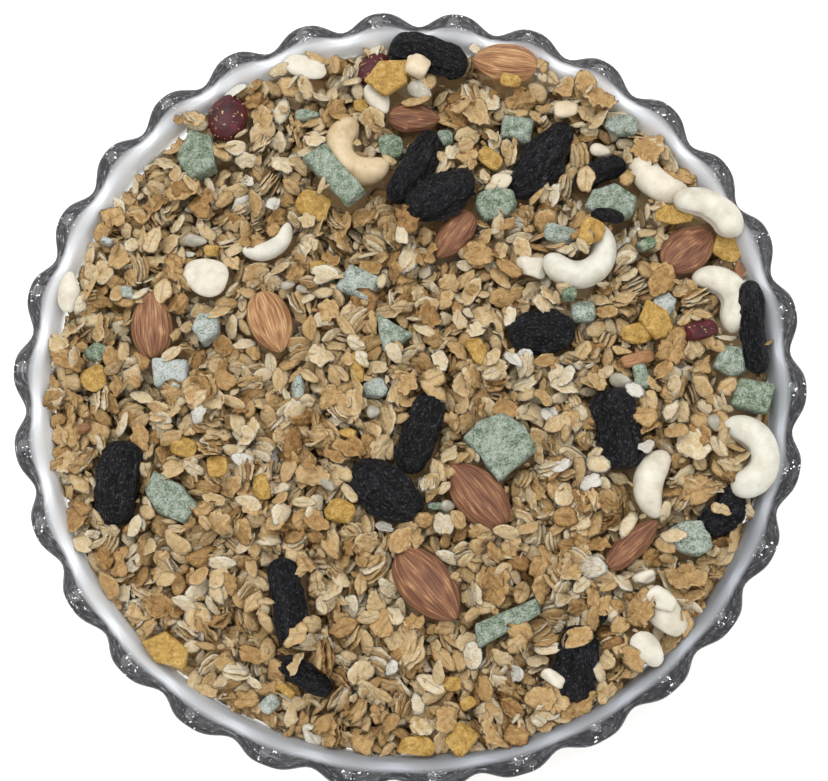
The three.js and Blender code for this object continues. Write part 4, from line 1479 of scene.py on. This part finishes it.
def oatMaterial(name, tones, stripes=0.0):
    oats, tree, shader = newMaterial(name, 0.65, 0.35)
    grain, place = grainOf(tree), objectPlace(tree)
    tone, chance, reach = tintOf(tree)[:3]
    local = addNode(tree, "ShaderNodeVectorMath", {0: grain}, operation="FRACTION").outputs[0]
    spot = addNode(tree, "ShaderNodeSeparateXYZ", {0: local}).outputs
    fibre = noiseNode(tree, stretched(tree, grain, (2.0, 10.0, 1.0)), 3.0, 4.0, 0.65)
    patch = noiseNode(tree, place, 330.0, 4.0, 0.62)
    crumple = noiseNode(tree, place, 720.0, 4.0, 0.6)
    fine = noiseNode(tree, place, 1900.0, 3.0, 0.6)
    folds = summed(tree, (crumple, 0.7), (fine, 0.3))
    mottle = summed(tree, (fibre, 0.42 + stripes), (patch, 0.3), (folds, 1))
    value = summed(tree, (tone, 0.8), (mathNode(tree, "SUBTRACT", mottle, 0.78 + stripes / 2), 1))
    # a darker rim on some flakes, and on others a paler one, a painted highlight where the thin edge lets
    # light through; then the dark line of the crease
    rim = times(tree, rangeNode(tree, reach, 0.7, 1.0, 0.0, 0.4),
                rangeNode(tree, chance, 0.0, 1.0, -0.7, 0.5))
    colour = colourRamp(tree, mathNode(tree, "SUBTRACT", value, rim), tones)
    along, across = [mathNode(tree, "ABSOLUTE", mathNode(tree, "SUBTRACT", spot[axis], 0.5))
                     for axis in (0, 1)]
    slit = times(tree, rangeNode(tree, across, 0.006, 0.05, 0.4, 0.0),
                 rangeNode(tree, along, 0.25, 0.4, 1.0, 0.0))
    creased = times(tree, slit, mathNode(tree, "GREATER_THAN", chance, oatLook["creased"]))
    colour = mixColour(tree, creased, colour, oatLook["crease"])
    tree.links.new(colour, shader.inputs["Base Color"])
    bumpNode(tree, shader, summed(tree, (fibre, 0.35), (folds, 1), (creased, -0.3)), 1.0, 1.5)
    return oats


oatSkin = oatMaterial("oat flakes", oatLook["plain"])
stripedSkin = oatMaterial("striped oat flakes", oatLook["striped"], 0.7)
for name, look in flakeKinds.items():
    skin = stripedSkin if "ridges" in look else oatSkin
    makeFlakes(name, flakeRandom, flakeRows[name], lowerCount[name], look, skin)

wallFlakes = flakeKinds["oat_slivers"] | {
    "count": 3000, "length": (7.0, 1.6), "width": (0.66, 0.1),
    "around": 7, "rings": (0.6, 1.0), "underRings": (),
    "underTop": 3.5,  # they end this far under the level
    "intoGlass": (0.15, 0.5),
}
makeWallFlakes(flakeRandom, wallFlakes, oatSkin)
gapLeft = (target - ground)[(np.hypot(mapX, mapY) < 108) & ~taken]
print("heap top is", round(float(gapLeft.mean()), 2), "mm under its mark")

skins = {
    "raisins": raisinMaterial(), "almonds": almondMaterial(),
    "cashews": paleNutMaterial("cashew"), "broken_nuts": paleNutMaterial("pale nut"),
    "dried_berries": berryMaterial(), "candied_fruit": candiedMaterial(),
    "yellow_slices": yellowMaterial(), "pearl_seeds": pearlMaterial(),
}
for pieceName, (slot, kind, shape) in toppingPieces.items():
    points, faces, grain, tint = joined(parts[pieceName])
    piece = makeMesh(pieceName, points, faces, skins[pieceName], grain, tint)
    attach(piece, "root")
    if kind:
        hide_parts(*ofKind(kind))
    print(pieceName, "made:", len(parts[pieceName]), "pieces,", len(faces), "triangles")


# floor, light and sky

studio = {
    "floorTone": srgb(252, 252, 252),
    "floorShade": srgb(244, 244, 244),
    "floorReach": 3.0,  # metres
    "skyTone": (0.96, 0.965, 0.975, 1),
    "skyStrength": 1.0,
    "aim": (0, 0, 0.05),
    # lamps: width in metres, power, place in metres
    "lamps": {
        "key": (1.1, 8, (-0.26, 0.36, 1.05)),
        "fill": (1.2, 3, (0.7, -0.3, 1.0)),
        "spark_left": (0.05, 0.7, (-0.15, 0.25, 1.1)),
        "spark_right": (0.05, 0.7, (0.25, 0.1, 1.1)),
    },
}


def makeFloor():
    floor, tree, shader = newMaterial("floor", 0.8, 0.1)
    cloud = noiseNode(tree, objectPlace(tree), 3.0, 2.0)
    tone = mixColour(tree, times(tree, cloud, 0.05), studio["floorTone"], studio["floorShade"])
    tree.links.new(tone, shader.inputs["Base Color"])
    reach = studio["floorReach"]
    mesh = bpy.data.meshes.new("floor")
    corners = [(-reach, -reach, 0), (reach, -reach, 0), (reach, reach, 0), (-reach, reach, 0)]
    mesh.from_pydata(corners, [], [(0, 1, 2, 3)])
    mesh.materials.append(floor)
    newObject("floor", mesh)


def makeLamp(name, size, power, place):
    data = bpy.data.lights.new(name, "AREA")
    data.shape = "DISK"
    data.size = size
    data.energy = power
    lamp = newObject(name, data)
    back = np.array(place) - np.array(studio["aim"])
    back /= np.linalg.norm(back)
    right = np.cross([0, 1, 0.01], back)
    right /= np.linalg.norm(right)
    turn = Matrix([right, np.cross(back, right), back]).transposed()
    lamp.matrix_world = Matrix.Translation(place) @ turn.to_4x4()


def makeSky():
    sky = bpy.data.worlds.new("sky")
    sky.use_nodes = True
    background = sky.node_tree.nodes["Background"]
    background.inputs["Color"].default_value = studio["skyTone"]
    background.inputs["Strength"].default_value = studio["skyStrength"]
    scene.world = sky


makeFloor()
makeSky()
for name, lamp in studio["lamps"].items():
    makeLamp(name, *lamp)
scene.view_settings.view_transform = "Standard"
scene.cycles.use_denoising = True
scene.cycles.transmission_bounces = 14
scene.cycles.max_bounces = 18
scene.cycles.transparent_max_bounces = 16
scene.cycles.caustics_reflective = False
scene.cycles.caustics_refractive = False
print("light set")
